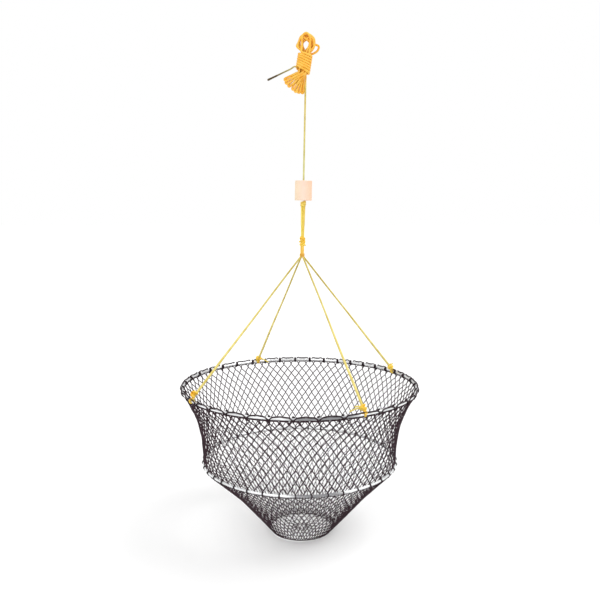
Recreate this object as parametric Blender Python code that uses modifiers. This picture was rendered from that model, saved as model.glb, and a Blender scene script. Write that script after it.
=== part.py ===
"""Crab hoop net, hanging from its haul line.

Two galvanised hoops carry a knotted mesh wall and a mesh bag. A four-legged rope bridle gathers above them
in a knot, and its top loops are hitched to a haul line that passes through a small float. The spare line
above is laid up in a hank, which hangs by its own eye.

Metres, +Z up. The origin is in the hank's eye, where the net hangs. Heights below are taken from the upper
hoop's plane, on the line's axis, which leans a little to +X as it rises.
"""

import bmesh
import bpy
import math
import numpy as np
from mathutils import Vector

# Hoops
UPPER_HOOP_RADIUS = 0.381
LOWER_HOOP_RADIUS = 0.3175
HOOP_SPACING = 0.250
HOOP_ROD_DIAMETER = 0.008
HOOP_STEPS = 54
ROD_SIDES = 8

# Rope and twine
ROPE_DIAMETER = 0.0048
LACING_DIAMETER = 0.0024
NET_TWINE_DIAMETER = 0.0024
SEIZING_DIAMETER = 0.002
FLOOR_CORD_DIAMETER = 0.004
SEAT_GAP = 0.0003

# Lengths along the line's axis, from the upper hoop's plane up to the hank's eye
LEG_SPLIT_HEIGHT = 0.4230
BUNCH_LENGTH = 0.0310
KNOT_LENGTH = 0.0346
PENNANT_LENGTH = 0.0914
HITCH_LENGTH = 0.0206
LINE_LENGTH = 0.3301
WAIST_LENGTH = 0.0593
EYE_RISE = 0.048
LINE_LEAN_SHARE = 0.0195

# Float
FLOAT_DIAMETER = 0.054
FLOAT_LENGTH = 0.062
FLOAT_BORE_DIAMETER = 0.0068
FLOAT_EDGE_RADIUS = 0.0015
FLOAT_SIDES = 24
MERGE_DISTANCE = 0.00001

# Bridle and its ties on the upper hoop
LEG_COUNT = 4
TIE_ANGLES = (math.radians(29.5), math.radians(114.5), math.radians(211.5), math.radians(299.0))
TIE_TURNS = 2
TIE_STEM = 0.026
TIE_TAIL = 0.023
TIE_TAIL_RISE_SHARE = 0.8
TIE_STEPS_PER_TURN = 8
TIE_FIRST_STEP_SHARE = 0.75
LEG_BEND = 0.0096
KNOT_COIL_STEPS = 10
SEIZING_TURNS = 3
SEIZING_STEPS = 10

# Lacing: how many times each lacing cord passes round its hoop, from each leg's tie to the next
UPPER_LASHINGS = (10, 10, 8, 9)
LOWER_LASHINGS = (10, 11, 10, 10)
LACING_REACH = 0.0076
LACING_DROP = 0.0090
LASHING_LENGTH = 0.010

# Nets
SIDE_NET_COLUMNS = 20
SIDE_NET_ROWS = 6
SIDE_NET_FLARE = 2.4
BAG_NET_COLUMNS = 20
BAG_NET_ROWS = 6
BAG_DEPTH = 0.243
FLOOR_RADIUS = 0.102
FLOOR_EYE_RADIUS = 0.022
FLOOR_NET_COLUMNS = 12
FLOOR_NET_ROWS = 3
FLOOR_CORD_STEPS = 36
FLOOR_CORD_SIDES = 6

# Hank, seen from the front: loops above and below a waist that the rope's own end binds
WAIST_COLUMN_PITCH = 0.0070
WAIST_ROW_PITCH = 0.0056
WAIST_LEAN = 0.009
WAIST_COLUMNS = 4
WAIST_ROWS = 4
WAIST_WRAPS = 6.65
WRAP_STEPS = 12
WRAP_REACH = 0.0082
WRAP_START_ANGLE = math.radians(235)
WRAP_TILT_FIRST = 0.006
WRAP_TILT_LAST = 0.009
HANK_LEAD = 0.020
HANK_GAP = 0.0024
HANK_SPACING = 0.004
HANK_TOLERANCE = 0.0004
HANK_FIXED_ENDS = 4
CROWN_KNEE_SHARE = 0.34
CROWN_FIRST_SHARE = 0.7
CROWN_SPREAD_SHARE = 1.5
WRAP_SQUARENESS = 4
PUSH_ROUNDS = 400
PUSH_REFRESH_ROUNDS = 10
PUSH_REACH_SHARE = 1.8
PUSH_NEAR_SHARE = 2.2
PUSH_SHARE = 0.35
EASE_SHARE = 0.25
RETURN_SHARE = 0.002
# Each upper crown: sideways from the waist's top, its reach above it, half its width, and its shoulders' share
UPPER_CROWNS = (
    (0.003, 0.053, 0.0125, 0.78),
    (0.040, 0.022, 0.0105, 0.76),
    (0.001, 0.056, 0.0180, 0.80),
    (-0.006, 0.048, 0.0225, 0.56),
    (0.004, 0.055, 0.0200, 0.78),
    (0.015, 0.044, 0.0165, 0.62),
    (-0.012, 0.043, 0.0175, 0.62),
    (0.001, 0.055, 0.0120, 0.80),
)
# Each lower crown: sideways and down from the waist's bottom, half its width, and its shoulders' share
LOWER_CROWNS = (
    (0.001, 0.060, 0.0034, 0.93),
    (-0.0110, 0.059, 0.0034, 0.93),
    (-0.020, 0.058, 0.0034, 0.93),
    (-0.029, 0.052, 0.0035, 0.93),
    (-0.042, 0.042, 0.0035, 0.93),
    (-0.050, 0.034, 0.0036, 0.93),
    (-0.054, 0.026, 0.0035, 0.93),
)
# The free tail, from the left of the waist to the start of the sealed tip and to its end
TAIL_ROUTE = (
    (-0.032, -0.0295, 0.013),
    (-0.047, -0.0300, 0.005),
    (-0.064, -0.0300, -0.003),
    (-0.088, -0.0290, -0.0145),
)
TIP_LENGTH = 0.028
TIP_DIAMETER = 0.0052

# What follows from the sizes above
KNOT_BOTTOM_HEIGHT = LEG_SPLIT_HEIGHT + BUNCH_LENGTH
KNOT_TOP_HEIGHT = KNOT_BOTTOM_HEIGHT + KNOT_LENGTH
HITCH_BOTTOM_HEIGHT = KNOT_TOP_HEIGHT + PENNANT_LENGTH
FLOAT_BOTTOM_HEIGHT = HITCH_BOTTOM_HEIGHT + HITCH_LENGTH
WAIST_BOTTOM_HEIGHT = FLOAT_BOTTOM_HEIGHT + FLOAT_LENGTH + LINE_LENGTH
WAIST_TOP_HEIGHT = WAIST_BOTTOM_HEIGHT + WAIST_LENGTH
HANG_HEIGHT = WAIST_TOP_HEIGHT + EYE_RISE
ROD_RADIUS = HOOP_ROD_DIAMETER / 2
ROPE_RADIUS = ROPE_DIAMETER / 2
LACING_RADIUS = LACING_DIAMETER / 2
TWINE_RADIUS = NET_TWINE_DIAMETER / 2
HOOP_CENTRE = Vector((-LINE_LEAN_SHARE * HANG_HEIGHT, 0, -HANG_HEIGHT))
LEAN = math.atan(LINE_LEAN_SHARE)
STRAND_PITCH = ROPE_DIAMETER + 2 * SEAT_GAP
BUNDLE_RADIUS = STRAND_PITCH / math.sqrt(2)
COIL_RADIUS = (BUNDLE_RADIUS + ROPE_DIAMETER + SEAT_GAP) / math.cos(math.pi / KNOT_COIL_STEPS)
NET_TOP_DROP = LACING_DROP + LACING_RADIUS + SEAT_GAP + TWINE_RADIUS
NET_FOOT_RISE = LACING_REACH + LACING_RADIUS + SEAT_GAP + TWINE_RADIUS


def clear_scene():
    for thing in list(bpy.data.objects):
        bpy.data.objects.remove(thing)


def material(name, colour, roughness, metallic=0):
    made = bpy.data.materials.new(name)
    made.use_nodes = True
    shader = made.node_tree.nodes["Principled BSDF"]
    shader.inputs["Base Color"].default_value = (*colour, 1)
    shader.inputs["Roughness"].default_value = roughness
    shader.inputs["Metallic"].default_value = metallic
    made.diffuse_color = (*colour, 1)
    return made


def keep(thing, look, parent=None):
    """Puts a finished piece in the net's collection, with its own copy of a material."""
    for other in list(thing.users_collection):
        other.objects.unlink(thing)
    PARTS.objects.link(thing)
    colour, roughness, metallic = look
    thing.data.materials.clear()
    thing.data.materials.append(material(thing.name, colour, roughness, metallic))
    thing.parent = parent
    return thing


def empty(name, place, tilt=0, parent=None):
    made = bpy.data.objects.new(name, None)
    made.location = place
    made.rotation_euler = (0, tilt, 0)
    made.parent = parent
    PARTS.objects.link(made)
    return made


def tube(name, points, diameter, look, parent=None, bevel_resolution=2, closed=False):
    """A round cord along a list of points, with flat ends."""
    curve = bpy.data.curves.new(name, "CURVE")
    curve.dimensions = "3D"
    curve.bevel_depth = diameter / 2
    curve.bevel_resolution = bevel_resolution
    curve.use_fill_caps = True
    spline = curve.splines.new("POLY")
    spline.points.add(len(points) - 1)
    for place, point in zip(spline.points, points):
        place.co = (*point, 1)
    spline.use_cyclic_u = closed
    spline.use_smooth = True
    return keep(bpy.data.objects.new(name, curve), look, parent)


def smooth_curve(route, spacing):
    """Points a given distance apart on a smooth curve through the route's own points."""
    route = [np.array(point, float) for point in route]
    ends = [2 * route[0] - route[1], *route, 2 * route[-1] - route[-2]]
    fine = [route[0]]
    for before, start, end, after in zip(ends, ends[1:], ends[2:], ends[3:]):
        steps = max(2, math.ceil(np.linalg.norm(end - start) / spacing * 2))
        for step in range(1, steps + 1):
            t = step / steps
            fine.append(
                0.5 * (2 * start + (end - before) * t
                       + (2 * before - 5 * start + 4 * end - after) * t**2
                       + (3 * start - 3 * end + after - before) * t**3)
            )
    return spread_evenly(np.array(fine), spacing)


def spread_evenly(points, spacing):
    runs = np.linalg.norm(np.diff(points, axis=0), axis=1)
    along = np.concatenate([[0], np.cumsum(runs)])
    count = max(2, round(along[-1] / spacing) + 1)
    stations = np.linspace(0, along[-1], count)
    return np.stack([np.interp(stations, along, points[:, axis]) for axis in range(3)], axis=1)


def least_gap(points, diameter, skip):
    """The least space between a cord and itself, measured between points that lie along its path."""
    fine = spread_evenly(np.array(points), diameter / 4)
    jump = round(skip / (diameter / 4))
    least = math.inf
    for index in range(len(fine) - jump):
        apart = np.linalg.norm(fine[index + jump:] - fine[index], axis=1)
        least = min(least, apart.min())
    return least - diameter


# Hoops and their lacing


def hoop(name, radius, parent):
    bpy.ops.mesh.primitive_torus_add(
        major_radius=radius, minor_radius=ROD_RADIUS, major_segments=HOOP_STEPS, minor_segments=ROD_SIDES
    )
    made = bpy.context.object
    made.name = name
    made.data.shade_smooth()
    return keep(made, GALVANISED, parent)


def lashing_angles(counts):
    """Where the lashings sit: spread evenly from one leg's tie to the next, with none under a tie."""
    places = []
    for start, end, count in zip(TIE_ANGLES, [*TIE_ANGLES[1:], TIE_ANGLES[0] + 2 * math.pi], counts):
        places += [start + (end - start) * (lashing + 0.5) / count for lashing in range(count)]
    return places


def lacing(name, radius, lashings, drop, parent):
    """One cord that runs along the top of a hoop and passes once round it at every lashing."""
    points = []
    half = LASHING_LENGTH / 2 / radius
    turns = ((-half, math.pi / 2, LACING_REACH), (-half / 3, 0, LACING_REACH), (0, -math.pi / 2, drop),
             (half / 3, math.pi, LACING_REACH), (half, math.pi / 2, LACING_REACH))
    for centre in lashing_angles(lashings):
        for shift, around, reach in turns:
            out = radius + reach * math.cos(around)
            angle = centre + shift
            points.append((out * math.cos(angle), out * math.sin(angle), reach * math.sin(around)))
    return tube(name, points, LACING_DIAMETER, DARK_CORD, parent, bevel_resolution=0, closed=True)


# Nets


def diamond_net(name, profile, columns, rows, parent):
    """A diamond mesh of revolution. The profile gives radius and height for a share of the way down."""
    made = bpy.data.meshes.new(name)
    work = bmesh.new()
    levels = []
    for row in range(rows + 1):
        radius, height = profile(row / rows)
        turn = 0.5 * (row % 2)
        angles = [2 * math.pi * (column + turn) / columns for column in range(columns)]
        levels.append([work.verts.new((radius * math.cos(a), radius * math.sin(a), height)) for a in angles])
    for column in range(columns):
        after = (column + 1) % columns
        work.faces.new((levels[0][column], levels[1][column], levels[0][after]))
        foot = levels[rows - 1][after if rows % 2 else column]
        work.faces.new((levels[rows][column], levels[rows][after], foot))
    for row in range(rows - 1):
        above, middle, below = levels[row:row + 3]
        for column in range(columns):
            left = column if row % 2 else (column - 1) % columns
            right = (left + 1) % columns
            work.faces.new((above[column], middle[left], below[column], middle[right]))
    bmesh.ops.recalc_face_normals(work, faces=work.faces)
    work.to_mesh(made)
    work.free()
    thing = keep(bpy.data.objects.new(name, made), NET_TWINE, parent)
    wire = thing.modifiers.new("strands", "WIREFRAME")
    wire.thickness = NET_TWINE_DIAMETER
    wire.use_even_offset = False
    wire.use_boundary = True
    return thing


def side_profile(share):
    radius = LOWER_HOOP_RADIUS + (UPPER_HOOP_RADIUS - LOWER_HOOP_RADIUS) * (1 - share) ** SIDE_NET_FLARE
    return radius, -NET_TOP_DROP - share * (HOOP_SPACING - NET_TOP_DROP - NET_FOOT_RISE)


def bag_profile(share):
    radius = LOWER_HOOP_RADIUS + (FLOOR_RADIUS - LOWER_HOOP_RADIUS) * share
    foot = BAG_DEPTH - FLOOR_CORD_DIAMETER / 2 - SEAT_GAP - TWINE_RADIUS
    return radius, -NET_TOP_DROP - share * (foot - NET_TOP_DROP)


def floor_profile(share):
    rim = FLOOR_RADIUS - FLOOR_CORD_DIAMETER / 2 - SEAT_GAP - TWINE_RADIUS
    return FLOOR_EYE_RADIUS + (rim - FLOOR_EYE_RADIUS) * (1 - share), -BAG_DEPTH


def floor_cord(parent):
    """The draw cord round the bag's floor."""
    bpy.ops.mesh.primitive_torus_add(
        major_radius=FLOOR_RADIUS,
        minor_radius=FLOOR_CORD_DIAMETER / 2,
        major_segments=FLOOR_CORD_STEPS,
        minor_segments=FLOOR_CORD_SIDES,
    )
    made = bpy.context.object
    made.name = "floor_cord"
    made.location = (0, 0, -BAG_DEPTH)
    made.data.shade_smooth()
    return keep(made, DARK_CORD, parent)


# Bridle


def bundle_slot(leg):
    """Where a leg's strand stands in the bundle of four, beside the line's axis."""
    angle = TIE_ANGLES[0] + leg * 2 * math.pi / LEG_COUNT
    return BUNDLE_RADIUS * math.cos(angle), BUNDLE_RADIUS * math.sin(angle)


def lean_point(x, y, height):
    """A point given beside the line's axis at a height, in the frame of the upper hoop's centre."""
    return Vector((x + LINE_LEAN_SHARE * height, y, height))


def leg_direction(leg):
    """The way a leg runs, from the tie on its hoop up to where the legs part."""
    angle = TIE_ANGLES[leg]
    top = lean_point(*bundle_slot(leg), LEG_SPLIT_HEIGHT)
    rim = Vector((UPPER_HOOP_RADIUS * math.cos(angle), UPPER_HOOP_RADIUS * math.sin(angle), 0))
    return rim, (top - rim).normalized(), top


def bridle_leg(leg, parent):
    rim, way, split = leg_direction(leg)
    middle = (KNOT_TOP_HEIGHT + KNOT_BOTTOM_HEIGHT) / 2
    slot = bundle_slot(leg)
    points = [
        lean_point(*slot, middle - SEAT_GAP / 2),
        lean_point(*slot, KNOT_BOTTOM_HEIGHT),
        split + Vector((0, 0, LEG_BEND)),
        split - way * LEG_BEND / 4,
        split - way * LEG_BEND * 3 / 2,
        rim + way * (TIE_STEM + SEAT_GAP),
    ]
    return tube(f"bridle_leg_{leg + 1}", points, ROPE_DIAMETER, BRIDLE_ROPE, parent)


def rim_tie(leg, parent):
    """A rope end passed round the hoop and its lacing, with a short tail. It starts at the leg's foot."""
    angle = TIE_ANGLES[leg]
    rim, way, _ = leg_direction(leg)
    out = Vector((math.cos(angle), math.sin(angle), 0))
    along = Vector((-math.sin(angle), math.cos(angle), 0))
    low = ROD_RADIUS + SEAT_GAP + ROPE_RADIUS
    high = LACING_REACH + LACING_RADIUS + SEAT_GAP + ROPE_RADIUS
    ring = (low + high) / 2 / math.cos(math.pi / TIE_STEPS_PER_TURN)
    middle = rim + Vector((0, 0, (high - low) / 2))
    start = math.atan2(way.z, way.dot(out))
    pitch = STRAND_PITCH + SEAT_GAP
    shift = -pitch * TIE_TURNS / 2
    points = [rim + way * TIE_STEM, rim + way * (TIE_STEM - ROPE_DIAMETER)]
    for step in range(TIE_STEPS_PER_TURN * TIE_TURNS - 1):
        share = (step + TIE_FIRST_STEP_SHARE) / TIE_STEPS_PER_TURN
        turn = start - 2 * math.pi * share
        side = along * (shift + pitch * share)
        points.append(middle + side + ring * (out * math.cos(turn) + Vector((0, 0, math.sin(turn)))))
    tail = (along + way * TIE_TAIL_RISE_SHARE).normalized() * TIE_TAIL
    points.append(points[-1] + tail)
    return tube(f"rim_tie_{leg + 1}", points, ROPE_DIAMETER, TIE_ROPE, parent, bevel_resolution=1)


def coil(name, bottom, top, turns, radius, diameter, steps, look, parent, lead=()):
    """A cord wound round the upright strands, from a lead-in at its top down to its bottom."""
    points = [Vector(point) for point in lead]
    count = round(turns * steps)
    for step in range(count + 1):
        angle = -2 * math.pi * step / steps
        height = top + (bottom - top) * step / count
        points.append(Vector((radius * math.cos(angle), radius * math.sin(angle), height)))
    return tube(name, points, diameter, look, parent, bevel_resolution=1)


def pennant_loop(name, first_leg, parent):
    """One top loop of the bridle: two strands out of the gather knot, with a tight crown in the hitch."""
    slots = [Vector((*bundle_slot(leg), 0)) for leg in (first_leg, first_leg + 1)]
    foot = (KNOT_TOP_HEIGHT + KNOT_BOTTOM_HEIGHT) / 2 + SEAT_GAP / 2
    shoulder = HITCH_BOTTOM_HEIGHT + ROPE_RADIUS
    centre = (slots[0] + slots[1]) / 2
    points = [slots[0] + Vector((0, 0, foot)), slots[0] + Vector((0, 0, shoulder))]
    bend = STRAND_PITCH / 2
    for step in range(1, 4):
        angle = math.pi * step / 4
        rise = Vector((0, 0, shoulder + bend * math.sin(angle)))
        points.append(centre + (slots[0] - centre) * math.cos(angle) + rise)
    points += [slots[1] + Vector((0, 0, shoulder)), slots[1] + Vector((0, 0, foot))]
    return tube(name, points, ROPE_DIAMETER, BRIDLE_ROPE, parent, bevel_resolution=1)


# Float


def line_float(parent):
    """A cylinder with eased edges and a bore, turned as one closed profile."""
    outer = FLOAT_DIAMETER / 2
    bore = FLOAT_BORE_DIAMETER / 2
    ease = FLOAT_EDGE_RADIUS
    bottom = FLOAT_BOTTOM_HEIGHT
    top = bottom + FLOAT_LENGTH
    profile = [(bore, top), (outer - ease, top), (outer, top - ease), (outer, bottom + ease),
               (outer - ease, bottom), (bore, bottom)]
    made = bpy.data.meshes.new("line_float")
    corners = len(profile)
    edges = [(corner, (corner + 1) % corners) for corner in range(corners)]
    made.from_pydata([(x, 0, z) for x, z in profile], edges, [])
    thing = keep(bpy.data.objects.new("line_float", made), FLOAT_FOAM, parent)
    screw = thing.modifiers.new("turn", "SCREW")
    screw.steps = FLOAT_SIDES
    screw.render_steps = FLOAT_SIDES
    screw.use_merge_vertices = True
    screw.merge_threshold = MERGE_DISTANCE
    return thing


# Hank


def waist_slot(loop, rising, height):
    """Where a strand passes the waist. Loops pair up in rows, from the line's own row to the front."""
    row, inner = divmod(loop, 2)
    column = (2 if inner else 3) if rising else (1 if inner else 0)
    share = (height - WAIST_BOTTOM_HEIGHT) / (WAIST_TOP_HEIGHT - WAIST_BOTTOM_HEIGHT)
    across = (column - WAIST_COLUMNS + 1) * WAIST_COLUMN_PITCH + WAIST_LEAN * share
    return np.array((across, -row * WAIST_ROW_PITCH, height))


def crown(start, end, foot, tip, half, shoulder, depth):
    """The points of one crown, between the slots where its two legs enter the waist."""
    reach = tip - foot
    side = np.array((reach[2], 0, -reach[0])) * half / np.linalg.norm(reach)
    if side[0] * (start[0] - end[0]) < 0:
        side = -side
    out = np.array((0, depth, 0))
    knee = foot + CROWN_KNEE_SHARE * reach + out
    turn = foot + shoulder * reach + out
    return [knee + side, turn + side, tip + out, turn - side, knee - side]


def waist_wraps(bundle_middle, bundle_depth):
    """The turns of the rope's own end round the waist, from its top down, tilted down to the right."""
    wide = (WAIST_COLUMNS - 1) / 2 * WAIST_COLUMN_PITCH + WRAP_REACH
    deep = (WAIST_ROWS - 1) / 2 * WAIST_ROW_PITCH + WRAP_REACH
    first = WAIST_TOP_HEIGHT - ROPE_DIAMETER
    last = WAIST_BOTTOM_HEIGHT + ROPE_DIAMETER
    count = round(WAIST_WRAPS * WRAP_STEPS)
    points = []
    for step in range(count + 1):
        share = step / count
        angle = WRAP_START_ANGLE + 2 * math.pi * step / WRAP_STEPS
        across, away = math.cos(angle), math.sin(angle)
        size = (abs(across) ** WRAP_SQUARENESS + abs(away) ** WRAP_SQUARENESS) ** (-1 / WRAP_SQUARENESS)
        height = first + (last - first) * share
        lean = WAIST_LEAN * (height - WAIST_BOTTOM_HEIGHT) / (WAIST_TOP_HEIGHT - WAIST_BOTTOM_HEIGHT)
        tilt = -(WRAP_TILT_FIRST + (WRAP_TILT_LAST - WRAP_TILT_FIRST) * share) * size * across
        middle = bundle_middle + lean
        place = (middle + wide * size * across, bundle_depth + deep * size * away, height + tilt)
        points.append(np.array(place))
    return points


def hank_route():
    """The whole hank's own points, from where it meets the haul line to where the sealed tip begins."""
    top = WAIST_TOP_HEIGHT
    bottom = WAIST_BOTTOM_HEIGHT
    middle = -(WAIST_COLUMNS - 1) / 2 * WAIST_COLUMN_PITCH
    depth_of_rows = (WAIST_ROWS - 1) * WAIST_ROW_PITCH
    route = [np.array((0, 0, bottom - HANK_LEAD)), np.array((0, 0, bottom - HANK_LEAD / 2))]
    last = len(UPPER_CROWNS) - 1
    for loop, (lean, reach, half, shoulder) in enumerate(UPPER_CROWNS):
        depth = WAIST_ROW_PITCH * CROWN_FIRST_SHARE - depth_of_rows * CROWN_SPREAD_SHARE * loop / last
        rise = [waist_slot(loop, True, height) for height in (bottom, (bottom + top) / 2, top)]
        fall = [waist_slot(loop, False, height) for height in (top, (bottom + top) / 2, bottom)]
        foot = np.array((middle + WAIST_LEAN, 0, top))
        tip = foot + np.array((lean, 0, reach))
        route += rise + crown(rise[-1], fall[0], foot, tip, half, shoulder, depth)
        if loop < last:
            lean, reach, half, shoulder = LOWER_CROWNS[loop]
            foot = np.array((middle, 0, bottom))
            tip = foot + np.array((lean, 0, -reach))
            after = waist_slot(loop + 1, True, bottom)
            route += fall + crown(fall[-1], after, foot, tip, half, shoulder, depth)
    route += waist_wraps(middle, -depth_of_rows / 2)
    route += [np.array((x, y, bottom + z)) for x, y, z in TAIL_ROUTE]
    return route


def push_apart(points, distance, fixed):
    """Moves the points of a rope apart until no two stretches of it are nearer than a distance.

    Each point's move is smoothed along the rope, and eased back towards where the route first had it.
    """
    near = round(PUSH_NEAR_SHARE * distance / HANK_SPACING)
    start = points.copy()
    for step in range(PUSH_ROUNDS):
        if step % PUSH_REFRESH_ROUNDS == 0:
            squares = (points**2).sum(axis=1)
            apart = squares[:, None] + squares[None, :] - 2 * points @ points.T
            close = apart < (PUSH_REACH_SHARE * distance) ** 2
            one, other = np.nonzero(np.triu(close, near + 1))
        between = points[one] - points[other]
        length = np.sqrt((between**2).sum(axis=1))
        short = np.clip(distance / length - 1, 0, None)
        push = between * (PUSH_SHARE * short)[:, None]
        np.add.at(points, one, push)
        np.add.at(points, other, -push)
        moved = points - start
        ease = np.zeros_like(points)
        ease[1:-1] = (moved[:-2] + moved[2:]) / 2 - moved[1:-1]
        points = points + EASE_SHARE * ease - RETURN_SHARE * moved
        points[fixed] = start[fixed]
    return points


def thin_out(points, tolerance):
    """Leaves out the points that a straight run replaces within a tolerance."""
    kept = [0]
    while kept[-1] < len(points) - 1:
        start = kept[-1]
        end = start + 1
        while end + 1 < len(points):
            way = points[end + 1] - points[start]
            way = way / np.linalg.norm(way)
            middle = points[start + 1:end + 1] - points[start]
            off = middle - np.outer(middle @ way, way)
            if np.linalg.norm(off, axis=1).max() > tolerance:
                break
            end += 1
        kept.append(end)
    return points[kept]


def straight_ends(points):
    """Both ends run straight for one rope diameter: the first down the line, the last along the tail."""
    points[1] = points[0] + np.array((0, 0, ROPE_DIAMETER))
    way = points[-1] - points[-2]
    points[-2] = points[-1] - way / np.linalg.norm(way) * ROPE_DIAMETER
    return points


def hank(parent):
    path = smooth_curve(hank_route(), HANK_SPACING)
    fixed = np.zeros(len(path), bool)
    fixed[:HANK_FIXED_ENDS] = True
    fixed[-HANK_FIXED_ENDS:] = True
    path = push_apart(path, ROPE_DIAMETER + HANK_GAP, fixed)
    path = straight_ends(thin_out(path, HANK_TOLERANCE))
    gap = least_gap(path, ROPE_DIAMETER, 5 * ROPE_RADIUS)
    length = np.linalg.norm(np.diff(path, axis=0), axis=1).sum()
    print(f"hank: {len(path)} points, {length:.3f} m, least gap to itself {gap * 1000:.2f} mm")
    route = [Vector(point) for point in path]
    made = tube("hank", route, ROPE_DIAMETER, LINE_ROPE, parent, bevel_resolution=1)
    return made, path


def line_tip(path, parent):
    """The sealed end of the line: a short stiff cap that carries on from the tail."""
    end = Vector(path[-1])
    way = (end - Vector(path[-2])).normalized()
    start = end + way * SEAT_GAP
    return tube("line_tip", [start, start + way * TIP_LENGTH], TIP_DIAMETER, SEALED_TIP, parent)


# Colours, roughness and metallic values

GALVANISED = ((0.62, 0.64, 0.66), 0.38, 0.9)
DARK_CORD = ((0.03, 0.025, 0.03), 0.8, 0)
NET_TWINE = ((0.05, 0.035, 0.045), 0.75, 0)
BRIDLE_ROPE = ((0.86, 0.70, 0.12), 0.55, 0)
TIE_ROPE = ((0.90, 0.58, 0.05), 0.55, 0)
LINE_ROPE = ((0.92, 0.62, 0.06), 0.55, 0)
SEALED_TIP = ((0.09, 0.08, 0.02), 0.6, 0)
FLOAT_FOAM = ((0.93, 0.78, 0.66), 0.7, 0)

clear_scene()
PARTS = bpy.data.collections.new("crab_hoop_net")
bpy.context.scene.collection.children.link(PARTS)

# The line and what is on it share one leaning axis, and the hoops hang level below
line_axis = empty("line_axis", HOOP_CENTRE, LEAN)
net_axis = empty("net_axis", HOOP_CENTRE)
lower_axis = empty("lower_axis", (0, 0, -HOOP_SPACING), parent=net_axis)

hank_tube, hank_path = hank(line_axis)
line_tip(hank_path, line_axis)
hitch_entry = FLOAT_BOTTOM_HEIGHT - SEAT_GAP
line_bottom = (0, 0, FLOAT_BOTTOM_HEIGHT)
line_top = (0, 0, WAIST_BOTTOM_HEIGHT - HANK_LEAD - SEAT_GAP)
tube("haul_line", [line_bottom, line_top], ROPE_DIAMETER, LINE_ROPE, line_axis)
line_float(line_axis)

hitch_top = hitch_entry - ROPE_DIAMETER
hitch_foot = HITCH_BOTTOM_HEIGHT + ROPE_RADIUS
hitch_turns = (hitch_top - hitch_foot) / STRAND_PITCH
hitch_lead = ((0, 0, hitch_entry), (0, 0, hitch_top), (COIL_RADIUS / 2, 0, hitch_top))
coil("line_hitch", hitch_foot, hitch_top, hitch_turns, COIL_RADIUS, ROPE_DIAMETER, KNOT_COIL_STEPS,
     LINE_ROPE, line_axis, lead=hitch_lead)
pennant_loop("pennant_loop_1", 0, line_axis)
pennant_loop("pennant_loop_2", 2, line_axis)
knot_turns = (KNOT_TOP_HEIGHT - KNOT_BOTTOM_HEIGHT - ROPE_DIAMETER) / STRAND_PITCH
coil("gather_knot", KNOT_BOTTOM_HEIGHT + ROPE_RADIUS, KNOT_TOP_HEIGHT - ROPE_RADIUS, knot_turns, COIL_RADIUS,
     ROPE_DIAMETER, KNOT_COIL_STEPS, TIE_ROPE, line_axis)
seizing_radius = BUNDLE_RADIUS + ROPE_RADIUS + SEAT_GAP + SEIZING_DIAMETER / 2
seizing_radius /= math.cos(math.pi / SEIZING_STEPS)
seizing_bottom = LEG_SPLIT_HEIGHT + 2 * ROPE_DIAMETER + SEIZING_DIAMETER / 2
seizing_pitch = SEIZING_DIAMETER + 2 * SEAT_GAP
coil("leg_seizing", seizing_bottom, seizing_bottom + SEIZING_TURNS * seizing_pitch, SEIZING_TURNS,
     seizing_radius, SEIZING_DIAMETER, SEIZING_STEPS, TIE_ROPE, line_axis)
for number in range(LEG_COUNT):
    bridle_leg(number, net_axis)
    rim_tie(number, net_axis)

hoop("upper_hoop", UPPER_HOOP_RADIUS, net_axis)
lacing("upper_lacing", UPPER_HOOP_RADIUS, UPPER_LASHINGS, LACING_DROP, net_axis)
diamond_net("side_net", side_profile, SIDE_NET_COLUMNS, SIDE_NET_ROWS, net_axis)
hoop("lower_hoop", LOWER_HOOP_RADIUS, lower_axis)
lacing("lower_lacing", LOWER_HOOP_RADIUS, LOWER_LASHINGS, LACING_DROP, lower_axis)
diamond_net("bag_net", bag_profile, BAG_NET_COLUMNS, BAG_NET_ROWS, lower_axis)
floor_cord(lower_axis)
diamond_net("floor_net", floor_profile, FLOOR_NET_COLUMNS, FLOOR_NET_ROWS, lower_axis)
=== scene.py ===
"""Looks for the crab hoop net: its rods, rope, twine, knots and float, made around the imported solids.

Metres, in the frame of the solids. The origin is in the hank's eye, where the net hangs, +Z is up and +Y
points away from the camera. Heights on the line are taken from the upper hoop's plane.
"""
import math

import bpy
import numpy as np
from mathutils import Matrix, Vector, noise


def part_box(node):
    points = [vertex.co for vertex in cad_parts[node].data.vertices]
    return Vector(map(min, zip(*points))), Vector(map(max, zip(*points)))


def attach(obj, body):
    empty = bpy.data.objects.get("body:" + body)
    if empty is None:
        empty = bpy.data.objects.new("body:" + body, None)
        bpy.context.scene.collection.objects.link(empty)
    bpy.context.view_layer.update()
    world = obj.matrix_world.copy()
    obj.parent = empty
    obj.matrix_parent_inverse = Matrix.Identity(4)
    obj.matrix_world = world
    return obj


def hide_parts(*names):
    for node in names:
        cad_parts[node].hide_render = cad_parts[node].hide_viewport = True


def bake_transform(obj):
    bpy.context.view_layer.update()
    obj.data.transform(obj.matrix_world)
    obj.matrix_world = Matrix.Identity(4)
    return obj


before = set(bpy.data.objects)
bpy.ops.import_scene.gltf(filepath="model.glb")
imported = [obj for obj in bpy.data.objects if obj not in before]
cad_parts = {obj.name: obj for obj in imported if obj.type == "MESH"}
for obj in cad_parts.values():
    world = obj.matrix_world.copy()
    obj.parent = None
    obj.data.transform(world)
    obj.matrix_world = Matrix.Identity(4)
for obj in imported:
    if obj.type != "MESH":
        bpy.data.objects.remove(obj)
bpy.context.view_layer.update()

TAU = 2 * math.pi
UP = np.array((0, 0, 1.0))

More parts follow.
